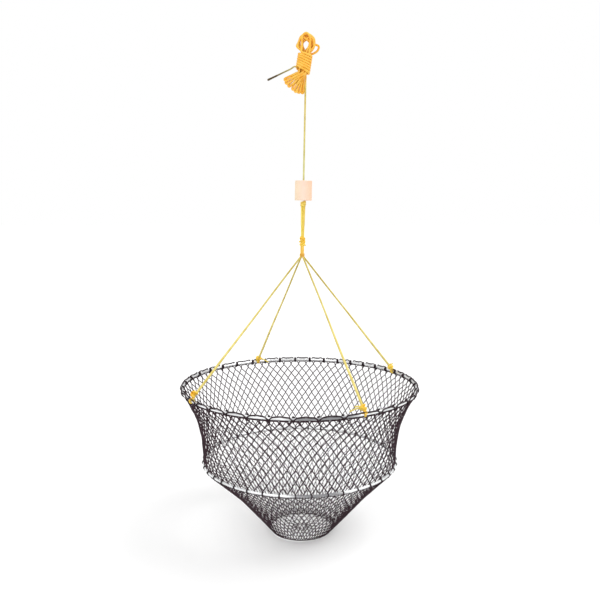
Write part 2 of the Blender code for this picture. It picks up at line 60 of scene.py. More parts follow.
# Places and sizes read from the frame, and the floor cord's own radius
upper_low, upper_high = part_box("upper_hoop")
lower_low, lower_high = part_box("lower_hoop")
floor_low, floor_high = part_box("floor_cord")
ROD_RADIUS = (upper_high.z - upper_low.z) / 2
UPPER_RADIUS = (upper_high.x - upper_low.x) / 2 - ROD_RADIUS
LOWER_RADIUS = (lower_high.x - lower_low.x) / 2 - ROD_RADIUS
FLOOR_CORD_RADIUS = 0.0020
FLOOR_RADIUS = (floor_high.x - floor_low.x) / 2 - FLOOR_CORD_RADIUS
HOOP_CENTRE = np.array(((upper_low.x + upper_high.x) / 2, 0, (upper_low.z + upper_high.z) / 2))
LOWER_CENTRE = np.array((HOOP_CENTRE[0], 0, (lower_low.z + lower_high.z) / 2))
FLOOR_CENTRE = np.array((HOOP_CENTRE[0], 0, (floor_low.z + floor_high.z) / 2))
HOOP_SPACING = HOOP_CENTRE[2] - LOWER_CENTRE[2]
BAG_DEPTH = LOWER_CENTRE[2] - FLOOR_CENTRE[2]
UPPER_RING = (UPPER_RADIUS, HOOP_CENTRE)
LOWER_RING = (LOWER_RADIUS, LOWER_CENTRE)

# The rope's radius in the solids, and the radii that each stretch of it is drawn with
ROPE_RADIUS = 0.0024
LINE_ROPE_RADIUS = 0.0027
HANK_ROPE_RADIUS = 0.0034
WAIST_ROPE_RADIUS = 0.0037
TAIL_ROPE_RADIUS = 0.0023
LEG_ROPE_RADIUS = 0.0028
LEG_FOOT_RADIUS = 0.0038
KNOT_ROPE_RADIUS = 0.0025
PENNANT_RADIUS = 0.0032
GATHER_ROPE_RADIUS = 0.0019

# Gaps, the line's lean, and heights and sizes on the line, as the solids have them
SEAT_GAP = 0.0003
LINE_LEAN = math.atan(0.0195)
LEG_SPLIT = 0.4230
KNOT_BOTTOM = 0.4540
KNOT_TOP = 0.4886
HITCH_BOTTOM = 0.5800
FLOAT_BOTTOM = 0.6006
FLOAT_LENGTH = 0.062
FLOAT_RADIUS = 0.027
FLOAT_BORE = 0.0034
WAIST_BOTTOM = 0.9927
WAIST_TOP = 1.0520
BUNDLE_RADIUS = (2 * ROPE_RADIUS + 2 * SEAT_GAP) / math.sqrt(2)
LEG_COUNT = 4
TIE_ANGLES = tuple(math.radians(angle) for angle in (29.5, 114.5, 211.5, 299.0))

# Net twine and lacing
NET_COLUMNS = 82
WALL_ROWS = 14
BAG_ROWS = 14
WALL_FLARE = 2.4
# Each net's twine: its radius, the size of its knots, and how far its sides bow
WALL_TWINE = (0.00158, 0.0021, 0.0004)
BAG_TWINE = (0.00110, 0.0014, 0.0001)
FLOOR_TWINE = (0.0008, 0.0013, 0.0002)
# Where the cords are lashed to the hoops: all of the upper hoop, and the front of the lower one
UPPER_LASHING_DEGREES = (
    35.0, 42.9, 51.3, 59.6, 67.6, 75.8, 84.1, 92.6, 101.5, 110.1, 118.0, 128.1, 138.0, 147.9, 157.8, 167.7,
    177.6, 187.5, 197.4, 207.3, 217.2, 227.0, 236.9, 247.3, 257.1, 267.4, 278.0, 288.8, 307.0, 316.6, 328.3,
    338.3, 348.3, 358.3, 368.3, 378.4, 386.7,
)
FRONT_LASHING_DEGREES = (
    214.4, 222.3, 232.2, 241.0, 250.2, 259.3, 267.9, 276.3, 285.0, 293.5, 302.6, 311.6, 321.4, 331.2,
)
LOWER_LASHING_COUNT = 41


# Small helpers


def unit(vectors):
    vectors = np.asarray(vectors, float)
    return vectors / np.linalg.norm(vectors, axis=-1, keepdims=True)


def round_axis(reach, angle, height):
    """Points by their reach, angle and height about an upright axis, each a number or an array."""
    parts = np.broadcast_arrays(reach * np.cos(angle), reach * np.sin(angle), height)
    return np.stack(parts, axis=-1)


def away_from_axis(points, centre):
    """Level unit vectors from the upright axis through a centre to the points."""
    away = points - centre
    away[..., 2] = 0.0
    return unit(away)


def metres_along(points):
    """How far along a path each of its points lies."""
    runs = np.linalg.norm(np.diff(points, axis=0), axis=1)
    return np.concatenate([[0], np.cumsum(runs)])


def full_turn(count):
    """Evenly spaced angles round a full turn, the end left out."""
    return np.arange(count) * TAU / count


def add_object(name, data):
    thing = bpy.data.objects.new(name, data)
    bpy.context.scene.collection.objects.link(thing)
    return thing


def on_line(points):
    """Points given in the line's own leaning frame, moved to the row frame."""
    points = np.asarray(points, float)
    x, y, z = points[..., 0], points[..., 1], points[..., 2]
    turned = np.stack([x * math.cos(LINE_LEAN) + z * math.sin(LINE_LEAN), y,
                       z * math.cos(LINE_LEAN) - x * math.sin(LINE_LEAN)], axis=-1)
    return turned + HOOP_CENTRE


def smooth_curve(route, spacing, closed=False):
    """Points a given distance apart on a smooth curve through the route's own points."""
    route = [np.array(point, float) for point in route]
    if closed:
        ends = [route[-1], *route, route[0], route[1]]
    else:
        ends = [2 * route[0] - route[1], *route, 2 * route[-1] - route[-2]]
    fine = [route[0]]
    for before, start, end, after in zip(ends, ends[1:], ends[2:], ends[3:]):
        steps = max(2, math.ceil(np.linalg.norm(end - start) / spacing * 2))
        t = np.arange(1, steps + 1)[:, None] / steps
        fine.extend(
            0.5 * (2 * start + (end - before) * t
                   + (2 * before - 5 * start + 4 * end - after) * t**2
                   + (3 * start - 3 * end + after - before) * t**3)
        )
    return spread_evenly(np.array(fine), spacing)


def spread_evenly(points, spacing):
    along = metres_along(points)
    count = max(2, round(along[-1] / spacing) + 1)
    stations = np.linspace(0, along[-1], count)
    return np.stack([np.interp(stations, along, points[:, axis]) for axis in range(3)], axis=1)


def carried_sides(path):
    """A side vector at each point of an open path, turned as little as possible along it."""
    ahead = unit(np.gradient(path, axis=0))
    last = np.eye(3)[np.argmin(np.abs(ahead[0]))]
    sides = np.empty_like(path)
    for index, way in enumerate(ahead):
        last = last - way * (last @ way)
        last = last / np.linalg.norm(last)
        sides[index] = last
    return sides


class Skin:
    """Gathers tubes and knots, with their places along and around, and makes one mesh of them."""

    def __init__(self):
        self.points = []
        self.faces = []
        self.places = []
        self.count = 0

    def ring_faces(self, rings, sides, closed):
        grid = self.count + np.arange(rings * sides).reshape(rings, sides)
        start = grid if closed else grid[:-1]
        end = np.roll(grid, -1, 0) if closed else grid[1:]
        return np.stack([start, np.roll(start, -1, 1), np.roll(end, -1, 1), end], axis=-1).reshape(-1, 4)

    def tube(self, path, sides_of_path, radius, sides, closed=False):
        """A tube along a path. Its radius is one number, or a table of one for each ring and side."""
        rings = len(path)
        if closed:
            ahead = unit(np.roll(path, -1, 0) - np.roll(path, 1, 0))
        else:
            ahead = unit(np.gradient(path, axis=0))
        out = unit(sides_of_path - ahead * (sides_of_path * ahead).sum(1, keepdims=True))
        up = np.cross(ahead, out)
        around = full_turn(sides)[None, :, None]
        spokes = out[:, None] * np.cos(around) + up[:, None] * np.sin(around)
        reach = np.broadcast_to(np.asarray(radius, float), (rings, sides))[..., None]
        self.points.append((path[:, None] + spokes * reach).reshape(-1, 3))
        self.faces.extend(self.ring_faces(rings, sides, closed).tolist())
        along = metres_along(np.concatenate([path, path[:1]]))
        spans = rings if closed else rings - 1
        start, end = (np.repeat(part, sides) for part in (along[:spans], along[1:spans + 1]))
        v = np.tile(np.arange(sides), spans) / sides
        after = v + 1 / sides
        places = np.stack([start, v, start, after, end, after, end, v], axis=1)
        self.places.append(places.reshape(-1, 2))
        if not closed:
            first = self.count + np.arange(sides)
            last = first + (rings - 1) * sides
            self.faces.append(first[::-1].tolist())
            self.faces.append(last.tolist())
            self.places.append(np.zeros((2 * sides, 2)))
        self.count += rings * sides

    def piece(self, name, material):
        mesh = bpy.data.meshes.new(name)
        mesh.from_pydata(np.concatenate(self.points).tolist(), [], self.faces)
        layer = mesh.uv_layers.new(name="UVMap")
        layer.data.foreach_set("uv", np.concatenate(self.places).ravel())
        mesh.shade_smooth()
        mesh.materials.append(material)
        return add_object(name, mesh)


# Materials


class Shading:
    """Short ways to add nodes to a tree and to join them."""

    def __init__(self, tree):
        self.nodes = tree.nodes
        self.links = tree.links

    def fill(self, node, inputs):
        """Joins or sets a node's inputs, each given by its name or number."""
        for name, value in inputs.items():
            if hasattr(value, "is_output"):
                self.links.new(value, node.inputs[name])
            else:
                node.inputs[name].default_value = value

    def add(self, kind, inputs, **settings):
        """Adds a node and returns its outputs."""
        node = self.nodes.new(kind)
        for name, value in settings.items():
            setattr(node, name, value)
        self.fill(node, inputs)
        return node.outputs

    def math(self, kind, one, other=0.0):
        return self.add("ShaderNodeMath", {0: one, 1: other}, operation=kind)[0]


class Look(Shading):
    """A material and its Principled shader."""

    def __init__(self, name, roughness, metallic=0.0, specular=0.5):
        self.made = bpy.data.materials.new(name)
        self.made.use_nodes = True
        super().__init__(self.made.node_tree)
        self.shade({"Roughness": roughness, "Metallic": metallic, "Specular IOR Level": specular})

    def shade(self, inputs):
        self.fill(self.nodes["Principled BSDF"], inputs)

    def colour(self, value):
        self.shade({"Base Color": value})

    def place(self, kind="Object"):
        return self.add("ShaderNodeTexCoord", {})[kind]

    def parts(self, kind="Object"):
        """The three numbers of a place. Those of a rope's UV are its metres along and its share around."""
        return self.add("ShaderNodeSeparateXYZ", {0: self.place(kind)})

    def cells(self, scale):
        return self.add("ShaderNodeTexVoronoi", {"Vector": self.place(), "Scale": scale})

    def scaled(self, vector, scale):
        return self.add("ShaderNodeMapping", {"Vector": vector, "Scale": scale})[0]

    def noise(self, scale, detail, vector=None):
        inputs = {"Vector": self.place() if vector is None else vector, "Scale": scale, "Detail": detail}
        return self.add("ShaderNodeTexNoise", inputs)["Fac"]

    def ramp(self, value, *stops):
        ramp = self.add("ShaderNodeValToRGB", {0: value})[0]
        elements = ramp.node.color_ramp.elements
        while len(elements) < len(stops):
            elements.new(0.5)
        for element, (place, colour) in zip(elements, stops):
            element.position = place
            element.color = (*colour, 1)
        return ramp

    def mix(self, share, one, other, kind="MIX"):
        inputs = {"Factor": share, 6: one, 7: other}
        return self.add("ShaderNodeMix", inputs, data_type="RGBA", blend_type=kind)[2]

    def between(self, value, start, end):
        """How far a value has come from start to end, as a share."""
        return self.add("ShaderNodeMapRange", {"Value": value, "From Min": start, "From Max": end})[0]

    def bump(self, height, strength, distance):
        inputs = {"Height": height, "Strength": strength, "Distance": distance}
        self.shade({"Normal": self.add("ShaderNodeBump", inputs)[0]})


BRAID_PITCH = 0.0115
BRAID_CARRIERS = 4
STREAK_SCALE = (260.0, 9.0, 1.0)
# Painted shade in the braid's grooves: how far the colour darkens where the weave is low
GROOVE_SHADE_TONES = ((0.0, (0.86, 0.84, 0.80)), (0.45, (1, 1, 1)))


def braided_rope(name, *stretches):
    """Plaited plastic rope: two crossing sets of flat yarns, each yarn finely streaked, with painted shade
    in the grooves between the yarns.
    """
    look = Look(name, 0.46, specular=0.4)
    along, around, _ = look.parts("UV")
    turn = look.math("MULTIPLY", around, TAU * BRAID_CARRIERS)
    run = look.math("MULTIPLY", along, TAU / BRAID_PITCH * 2)
    one = look.math("SINE", look.math("ADD", turn, run))
    other = look.math("SINE", look.math("SUBTRACT", turn, run))
    weave = look.math("MULTIPLY", one, other)
    streaks = look.noise(5.0, 2.0, look.scaled(look.place("UV"), STREAK_SCALE))
    height = look.math("ADD", look.math("MULTIPLY", weave, 0.7), look.math("MULTIPLY", streaks, 0.5))
    cloud = look.noise(38.0, 2.0)
    body = None
    for start, end, light, deep in stretches:
        colours = look.ramp(cloud, (0.32, deep), (0.62, light))
        body = colours if body is None else look.mix(look.between(along, start, end), body, colours)
    # Painted shade: the colour is darkened where the weave is low, in the grooves between the yarns
    groove_shade = look.ramp(look.between(weave, -1.0, 1.0), *GROOVE_SHADE_TONES)
    look.colour(look.mix(1.0, body, groove_shade, "MULTIPLY"))
    look.bump(height, 0.28, 0.0003)
    return look.made


def dark_twine(name, low, high, roughness, pitch):
    """Twisted nylon: strands that wind round the cord, in two dark tones that drift into each other."""
    look = Look(name, roughness, specular=0.14)
    along, around, _ = look.parts("UV")
    turn = look.math("MULTIPLY", around, TAU * 3)
    run = look.math("MULTIPLY", along, TAU / pitch)
    lay = look.math("SINE", look.math("ADD", turn, run))
    fuzz = look.noise(900.0, 2.0)
    look.colour(look.mix(look.noise(24.0, 3.0), low, high))
    look.bump(look.math("ADD", lay, look.math("MULTIPLY", fuzz, 0.8)), 0.6, 0.00025)
    return look.made


# A grey stretch on the rods where they face this azimuth is a painted dark reflection; it fades in between
# the two cosines of the edges, and the zinc is a little rougher there
PAINTED_REFLECTION_AZIMUTH = math.radians(-80)
PAINTED_REFLECTION_EDGES = (0.958, 0.984)
PAINTED_REFLECTION_GREY = (0.27, 0.27, 0.28, 1)
WORN_GREY = (0.58, 0.585, 0.59, 1)
WORN_PLACES = ((0.42, (0, 0, 0)), (0.66, (0.6, 0.6, 0.6)))
SPANGLE_TONES = ((0.1, (0.80, 0.81, 0.82)), (0.9, (0.94, 0.95, 0.96)))


def galvanised():
    """Hot-dipped zinc on drawn rod: grey and white spangles, a satin face, and one grey stretch at the
    front that is a painted dark reflection.
    """
    look = Look("galvanised_zinc", 0.34, metallic=0.82)
    spangle = look.ramp(look.cells(150.0)["Color"], *SPANGLE_TONES)
    cloud = look.noise(17.0, 4.0)
    colour = look.mix(look.ramp(cloud, *WORN_PLACES), spangle, WORN_GREY)
    # Painted dark reflection: where the rod faces the set azimuth its colour turns grey, and its roughness
    # rises a little
    x, away, _ = look.parts()
    across = look.math("SUBTRACT", x, float(HOOP_CENTRE[0]))
    squares = look.math("ADD", look.math("MULTIPLY", across, across), look.math("MULTIPLY", away, away))
    towards = look.math("ADD", look.math("MULTIPLY", across, math.cos(PAINTED_REFLECTION_AZIMUTH)),
                        look.math("MULTIPLY", away, math.sin(PAINTED_REFLECTION_AZIMUTH)))
    painted_reflection_mask = look.between(look.math("DIVIDE", towards, look.math("SQRT", squares)), *PAINTED_REFLECTION_EDGES)
    look.colour(look.mix(painted_reflection_mask, colour, PAINTED_REFLECTION_GREY))
    grain = look.math("ADD", look.math("MULTIPLY", cloud, 0.2), look.math("MULTIPLY", painted_reflection_mask, 0.12))
    look.shade({"Roughness": look.math("ADD", grain, 0.16)})
    look.bump(look.noise(420.0, 3.0), 0.25, 0.0003)
    return look.made


# The float's colour runs from one X to another, near its left and right sides: lighter at the left and
# deeper at the right as painted light and shade, and pinker in the middle
FLOAT_SHADE_ENDS = (-0.036, 0.018)
FLOAT_LIGHT_AND_SHADE_TONES = ((0.05, (0.96, 0.77, 0.56)), (0.5, (0.95, 0.71, 0.58)), (0.95, (0.94, 0.61, 0.42)))
MOTTLE_TONES = ((0.35, (0.94, 0.93, 0.92)), (0.66, (1, 1, 1)))
# Painted shade in the foam's pits
PIT_SHADE_TONES = ((0.05, (0.72, 0.72, 0.72)), (0.22, (1, 1, 1)))


def float_foam():
    """Pale peach closed-cell foam, finely pitted with painted shade in the pits, pinker in the middle, and
    with painted light and shade that make it lighter at the left and deepest at the right.
    """
    look = Look("float_foam_skin", 0.62, specular=0.3)
    mottle = look.ramp(look.noise(28.0, 3.0), *MOTTLE_TONES)
    # Painted light and shade: the colour runs from light at the left to deep at the right
    across = look.between(look.parts()[0], *FLOAT_SHADE_ENDS)
    shaded_tone = look.mix(1.0, look.ramp(across, *FLOAT_LIGHT_AND_SHADE_TONES), mottle, "MULTIPLY")
    # The pits are sunk by the bump, and darkened with painted shade
    pits = look.cells(620.0)["Distance"]
    pit_shade = look.ramp(pits, *PIT_SHADE_TONES)
    look.colour(look.mix(0.5, shaded_tone, look.mix(1.0, shaded_tone, pit_shade, "MULTIPLY")))
    look.bump(look.math("ADD", pits, look.noise(160.0, 3.0)), 0.2, 0.0005)
    return look.made


def sealed_tip():
    """Melted rope end: brown-black, a little glossy, with the plait still showing."""
    look = Look("melted_tip", 0.45, specular=0.25)
    cloud = look.noise(260.0, 3.0)
    look.colour(look.ramp(cloud, (0.35, (0.045, 0.026, 0.008)), (0.7, (0.13, 0.085, 0.02))))
    look.bump(cloud, 0.6, 0.0006)
    return look.made


# Stretches of a rope: where the colours set in and where they are full, in metres along it, and then the
# light and the deep colour
HAUL_STRETCHES = (
    (0, 0, (0.68, 0.66, 0.26), (0.54, 0.50, 0.14)),
    (0.10, 0.26, (0.70, 0.56, 0.15), (0.56, 0.42, 0.07)),
    (0.345, 0.385, (0.98, 0.58, 0.085), (0.93, 0.45, 0.035)),
    (4.050, 4.076, (0.46, 0.40, 0.16), (0.36, 0.30, 0.10)),
    (4.096, 4.133, (0.16, 0.11, 0.04), (0.10, 0.07, 0.02)),
)
LEG_STRETCHES = (
    (0, 0, (0.95, 0.66, 0.15), (0.86, 0.52, 0.07)),
    (0.036, 0.050, (0.60, 0.50, 0.13), (0.50, 0.38, 0.06)),
    (0.12, 0.36, (0.84, 0.71, 0.23), (0.66, 0.53, 0.11)),
)
LINE_ROPE = braided_rope("line_rope", *HAUL_STRETCHES)
LEG_ROPE = braided_rope("leg_rope", *LEG_STRETCHES)
TAIL_ROPE = braided_rope("tail_rope", (0, 0, (0.88, 0.72, 0.20), (0.72, 0.55, 0.08)))
# Lit and painted-shade tones of the pennant rope: the strand of each pennant that stands on the right takes
# the shaded ones
PENNANT_LIGHT = ((0.92, 0.76, 0.17), (0.83, 0.64, 0.08))
PENNANT_SHADED = ((0.86, 0.64, 0.12), (0.70, 0.48, 0.04))
PENNANT_ROPES = (
    braided_rope("pennant_rope_1", (0, 0, *PENNANT_SHADED), (0.105, 0.120, *PENNANT_LIGHT)),
    braided_rope("pennant_rope_2", (0, 0, *PENNANT_LIGHT), (0.105, 0.120, *PENNANT_SHADED)),
)
HITCH_ROPE = braided_rope("hitch_rope", (0, 0, (0.94, 0.74, 0.16), (0.78, 0.55, 0.06)))
KNOT_ROPE = braided_rope("knot_rope", (0, 0, (0.97, 0.72, 0.10), (0.86, 0.47, 0.02)))
SEIZING = braided_rope("seizing_twine", (0, 0, (0.86, 0.50, 0.07), (0.66, 0.32, 0.03)))
NET_TWINE = dark_twine("net_twine_skin", (0.015, 0.008, 0.010, 1), (0.064, 0.034, 0.046, 1), 0.7, 0.006)
LACING = dark_twine("lacing_cord", (0.012, 0.006, 0.008, 1), (0.040, 0.022, 0.028, 1), 0.65, 0.009)
ZINC = galvanised()
FOAM = float_foam()
TIP = sealed_tip()


# Rope


BRAID_DEPTH = 0.035
ROPE_SIDES = 12
ROPE_STEP = 0.0014
CAP_LEAST = 0.04


def rope(name, path, radius, material):
    """A braided rope along a smooth path, with its plait in the surface and rounded ends."""
    skin = Skin()
    add_rope(skin, path, radius)
    return skin.piece(name, material)


def add_rope(skin, path, radius):
    """Adds a rope to a skin. Its radius is a number, or a function of the metres along it."""
    path = spread_evenly(np.asarray(path, float), ROPE_STEP)
    along = metres_along(path)
    wide = radius(along) if callable(radius) else np.full(len(along), radius)
    around = np.arange(ROPE_SIDES) * TAU / ROPE_SIDES
    turn = around[None] * BRAID_CARRIERS / 2
    run = along[:, None] * TAU / BRAID_PITCH * 2
    weave = np.cos(turn + run) * np.cos(turn - run)
    end = np.minimum(along, along[-1] - along)
    cap = np.sqrt(np.clip(1 - (1 - np.clip(end / wide, 0, 1)) ** 2, CAP_LEAST, 1))
    reach = wide[:, None] * (1 + BRAID_DEPTH * weave) * cap[:, None]
    skin.tube(path, carried_sides(path), reach, ROPE_SIDES)


# Hank: the same route as its solid


WAIST_COLUMN_PITCH = 0.0070
WAIST_ROW_PITCH = 0.0056
WAIST_LEAN = 0.009
WAIST_COLUMNS = 4
WAIST_ROWS = 4
WAIST_WRAPS = 6.65
WRAP_STEPS = 12
WRAP_REACH = 0.0082
WRAP_START_ANGLE = math.radians(235)
WRAP_TILT_FIRST = 0.006
WRAP_TILT_LAST = 0.009
WRAP_SQUARENESS = 4
HANK_LEAD = 0.020
HANK_PITCH = 0.0062
HANK_SPACING = 0.004
HANK_FIXED_ENDS = 4
CROWN_KNEE_SHARE = 0.34
CROWN_FIRST_SHARE = 0.7
CROWN_SPREAD_SHARE = 1.5
PUSH_ROUNDS = 400
PUSH_REFRESH_ROUNDS = 10
PUSH_REACH_SHARE = 1.8
PUSH_NEAR_SHARE = 2.2
PUSH_SHARE = 0.35
EASE_SHARE = 0.25
RETURN_SHARE = 0.002
# The crowns above and below the waist: how far the tip stands sideways, its reach past the waist, half the
# crown's width, and the share of the reach where its shoulders turn
UPPER_CROWNS = (
    (0.003, 0.053, 0.0125, 0.78),
    (0.040, 0.022, 0.0105, 0.76),
    (0.001, 0.056, 0.0180, 0.80),
    (-0.006, 0.048, 0.0225, 0.56),
    (0.004, 0.055, 0.0200, 0.78),
    (0.015, 0.044, 0.0165, 0.62),
    (-0.012, 0.043, 0.0175, 0.62),
    (0.001, 0.055, 0.0120, 0.80),
)
LOWER_CROWNS = (
    (0.001, 0.060, 0.0034, 0.93),
    (-0.0110, 0.059, 0.0034, 0.93),
    (-0.020, 0.058, 0.0034, 0.93),
    (-0.029, 0.052, 0.0035, 0.93),
    (-0.042, 0.042, 0.0035, 0.93),
    (-0.050, 0.034, 0.0036, 0.93),
    (-0.054, 0.026, 0.0035, 0.93),
)
# The rope's end after the last wrap: across, away, and up from the waist's bottom
TAIL_ROUTE = (
    (-0.032, -0.0295, 0.013),
    (-0.047, -0.0300, 0.005),
    (-0.064, -0.0300, -0.003),
    (-0.088, -0.0290, -0.0145),
)
TIP_LENGTH = 0.033
TIP_RADIUS = 0.0032


def waist_slot(loop, rising, height):
    """Where a strand passes the waist. Loops pair up in rows, from the line's own row to the front."""
    row, inner = divmod(loop, 2)
    column = (2 if inner else 3) if rising else (1 if inner else 0)
    share = (height - WAIST_BOTTOM) / (WAIST_TOP - WAIST_BOTTOM)
    across = (column - WAIST_COLUMNS + 1) * WAIST_COLUMN_PITCH + WAIST_LEAN * share
    return np.array((across, -row * WAIST_ROW_PITCH, height))


def crown(start, end, foot, tip, half, shoulder, depth):
    """The points of one crown, between the slots where its two legs enter the waist."""
    reach = tip - foot
    side = np.array((reach[2], 0, -reach[0])) * half / np.linalg.norm(reach)
    if side[0] * (start[0] - end[0]) < 0:
        side = -side
    out = np.array((0, depth, 0))
    knee = foot + CROWN_KNEE_SHARE * reach + out
    turn = foot + shoulder * reach + out
    return [knee + side, turn + side, tip + out, turn - side, knee - side]


def waist_wraps(bundle_middle, bundle_depth):
    """The turns of the rope's own end round the waist, from its top down, tilted down to the right."""
    wide = (WAIST_COLUMNS - 1) / 2 * WAIST_COLUMN_PITCH + WRAP_REACH
    deep = (WAIST_ROWS - 1) / 2 * WAIST_ROW_PITCH + WRAP_REACH
    first = WAIST_TOP - 2 * ROPE_RADIUS
    last = WAIST_BOTTOM + 2 * ROPE_RADIUS
    count = round(WAIST_WRAPS * WRAP_STEPS)
    points = []
    for step in range(count + 1):
        share = step / count
        angle = WRAP_START_ANGLE + TAU * step / WRAP_STEPS
        across, away = math.cos(angle), math.sin(angle)
        size = (abs(across) ** WRAP_SQUARENESS + abs(away) ** WRAP_SQUARENESS) ** (-1 / WRAP_SQUARENESS)
        height = first + (last - first) * share
        lean = WAIST_LEAN * (height - WAIST_BOTTOM) / (WAIST_TOP - WAIST_BOTTOM)
        tilt = -(WRAP_TILT_FIRST + (WRAP_TILT_LAST - WRAP_TILT_FIRST) * share) * size * across
        x = bundle_middle + lean + wide * size * across
        points.append(np.array((x, bundle_depth + deep * size * away, height + tilt)))
    return points


def hank_route():
    """The whole hank's own points, from where it meets the haul line to where the sealed tip begins."""
    top = WAIST_TOP
    bottom = WAIST_BOTTOM
    middle = -(WAIST_COLUMNS - 1) / 2 * WAIST_COLUMN_PITCH
    depth_of_rows = (WAIST_ROWS - 1) * WAIST_ROW_PITCH
    route = [np.array((0, 0, bottom - HANK_LEAD)), np.array((0, 0, bottom - HANK_LEAD / 2))]
    last = len(UPPER_CROWNS) - 1
    for loop, (lean, reach, half, shoulder) in enumerate(UPPER_CROWNS):
        depth = WAIST_ROW_PITCH * CROWN_FIRST_SHARE - depth_of_rows * CROWN_SPREAD_SHARE * loop / last
        rise = [waist_slot(loop, True, height) for height in (bottom, (bottom + top) / 2, top)]
        fall = [waist_slot(loop, False, height) for height in (top, (bottom + top) / 2, bottom)]
        foot = np.array((middle + WAIST_LEAN, 0, top))
        tip = foot + np.array((lean, 0, reach))
        route += rise + crown(rise[-1], fall[0], foot, tip, half, shoulder, depth)
        if loop < last:
            lean, reach, half, shoulder = LOWER_CROWNS[loop]
            foot = np.array((middle, 0, bottom))
            tip = foot + np.array((lean, 0, -reach))
            after = waist_slot(loop + 1, True, bottom)
            route += fall + crown(fall[-1], after, foot, tip, half, shoulder, depth)
    route += waist_wraps(middle, -depth_of_rows / 2)
    route += [np.array((x, y, bottom + z)) for x, y, z in TAIL_ROUTE]
    return route


def push_apart(points, distance, fixed):
    """Moves the points of a rope apart until no two stretches of it are nearer than a distance.

    Each point's move is smoothed along the rope, and eased back towards where the route first had it.
    """
    near = round(PUSH_NEAR_SHARE * distance / HANK_SPACING)
    start = points.copy()
    for step in range(PUSH_ROUNDS):
        if step % PUSH_REFRESH_ROUNDS == 0:
            squares = (points**2).sum(axis=1)
            apart = squares[:, None] + squares[None, :] - 2 * points @ points.T
            close = apart < (PUSH_REACH_SHARE * distance) ** 2
            one, other = np.nonzero(np.triu(close, near + 1))
        between = points[one] - points[other]
        length = np.sqrt((between**2).sum(axis=1))
        short = np.clip(distance / length - 1, 0, None)
        push = between * (PUSH_SHARE * short)[:, None]
        np.add.at(points, one, push)
        np.add.at(points, other, -push)
        moved = points - start
        ease = np.zeros_like(points)
        ease[1:-1] = (moved[:-2] + moved[2:]) / 2 - moved[1:-1]
        points = points + EASE_SHARE * ease - RETURN_SHARE * moved
        points[fixed] = start[fixed]
    return points


SWELL_LENGTH = 0.025
BINDING_LENGTH = 0.93
TAIL_LENGTH = 0.085
TAIL_FINE_LENGTH = 0.070
HAUL_RADII = (
    LINE_ROPE_RADIUS, HANK_ROPE_RADIUS, HANK_ROPE_RADIUS,
    WAIST_ROPE_RADIUS, WAIST_ROPE_RADIUS, TAIL_ROPE_RADIUS,
)


def haul_rope():
    """One rope from the float's foot, up the line, through the hank and out to its sealed tip."""
    path = smooth_curve(hank_route(), HANK_SPACING)
    fixed = np.zeros(len(path), bool)
    fixed[:HANK_FIXED_ENDS] = True
    fixed[-HANK_FIXED_ENDS:] = True
    path = push_apart(path, HANK_PITCH, fixed)
    start = np.array((0, 0, FLOAT_BOTTOM))
    taut = spread_evenly(np.array([start, path[0]]), HANK_SPACING)[:-1]
    path = on_line(smooth_curve([*taut, *path], ROPE_STEP))
    total = metres_along(path)[-1]
    hank = WAIST_BOTTOM - HANK_LEAD - FLOAT_BOTTOM
    binding = total - BINDING_LENGTH
    stations = (hank, hank + SWELL_LENGTH, binding - SWELL_LENGTH, binding,
                total - TAIL_LENGTH, total - TAIL_FINE_LENGTH)
    made = rope("haul_rope", path, lambda along: np.interp(along, stations, HAUL_RADII), LINE_ROPE)
    return made, path


TIP_START_SHARE = 0.80
TIP_WAVE_SHARE = 0.04
TIP_WAVE_RATE = 9
TIP_POINTS = 30


def line_end(path):
    """The melted end of the rope: dark and straight, a little uneven, and thicker towards its tip."""
    way = unit(path[-1] - path[-12])
    length = TIP_LENGTH + ROPE_RADIUS
    line = path[-1] - way * ROPE_RADIUS + way * np.linspace(0, length, TIP_POINTS)[:, None]

    def swell(along):
        share = along / length
        wave = TIP_WAVE_SHARE * np.sin(TIP_WAVE_RATE * share)
        return TIP_RADIUS * (TIP_START_SHARE + (1 - TIP_START_SHARE) * share + wave)

    return rope("sealed_line_end", line, swell, TIP)


# Hoops


ROD_STEPS = 288
ROD_SIDES = 16
WELD_LENGTH = 0.006
WELD_RISE = 0.14


def rod_ring(name, radius, centre, weld_angle):
    """A rod bent into a ring, with the low bead of its butt weld."""
    angle = full_turn(ROD_STEPS)
    out = round_axis(1.0, angle, 0.0)
    off = np.abs((angle - weld_angle + math.pi) % TAU - math.pi) * radius
    swell = 1 + WELD_RISE * np.exp(-(off / WELD_LENGTH) ** 2)
    skin = Skin()
    skin.tube(centre + out * radius, out, ROD_RADIUS * swell[:, None], ROD_SIDES, closed=True)
    return skin.piece(name, ZINC)


def around_rod(ring, angle, degrees, reach):
    """Points beside a ring's rod: 0 degrees round it is outside the ring, and 90 degrees is on top."""
    radius, centre = ring
    around = np.radians(degrees)
    return centre + round_axis(radius + reach * np.cos(around), angle, reach * np.sin(around))


def closed_cord(skin, path, radius, sides):
    """A cord that ends where it starts, round the net's upright axis."""
    spread = spread_evenly(np.concatenate([path, path[:1]]), radius)[:-1]
    out = spread - spread.mean(0)
    # A little of up, for where the cord runs straight outwards
    out[:, 2] = 0.001
    skin.tube(spread, out, radius, sides, closed=True)


FRONT_BLEND = 0.7


def towards_front(angle):
    """1 along the front of a hoop, 0 along its back, and shares of it at its sides."""
    return np.clip(0.5 - np.sin(angle) / FRONT_BLEND, 0, 1)


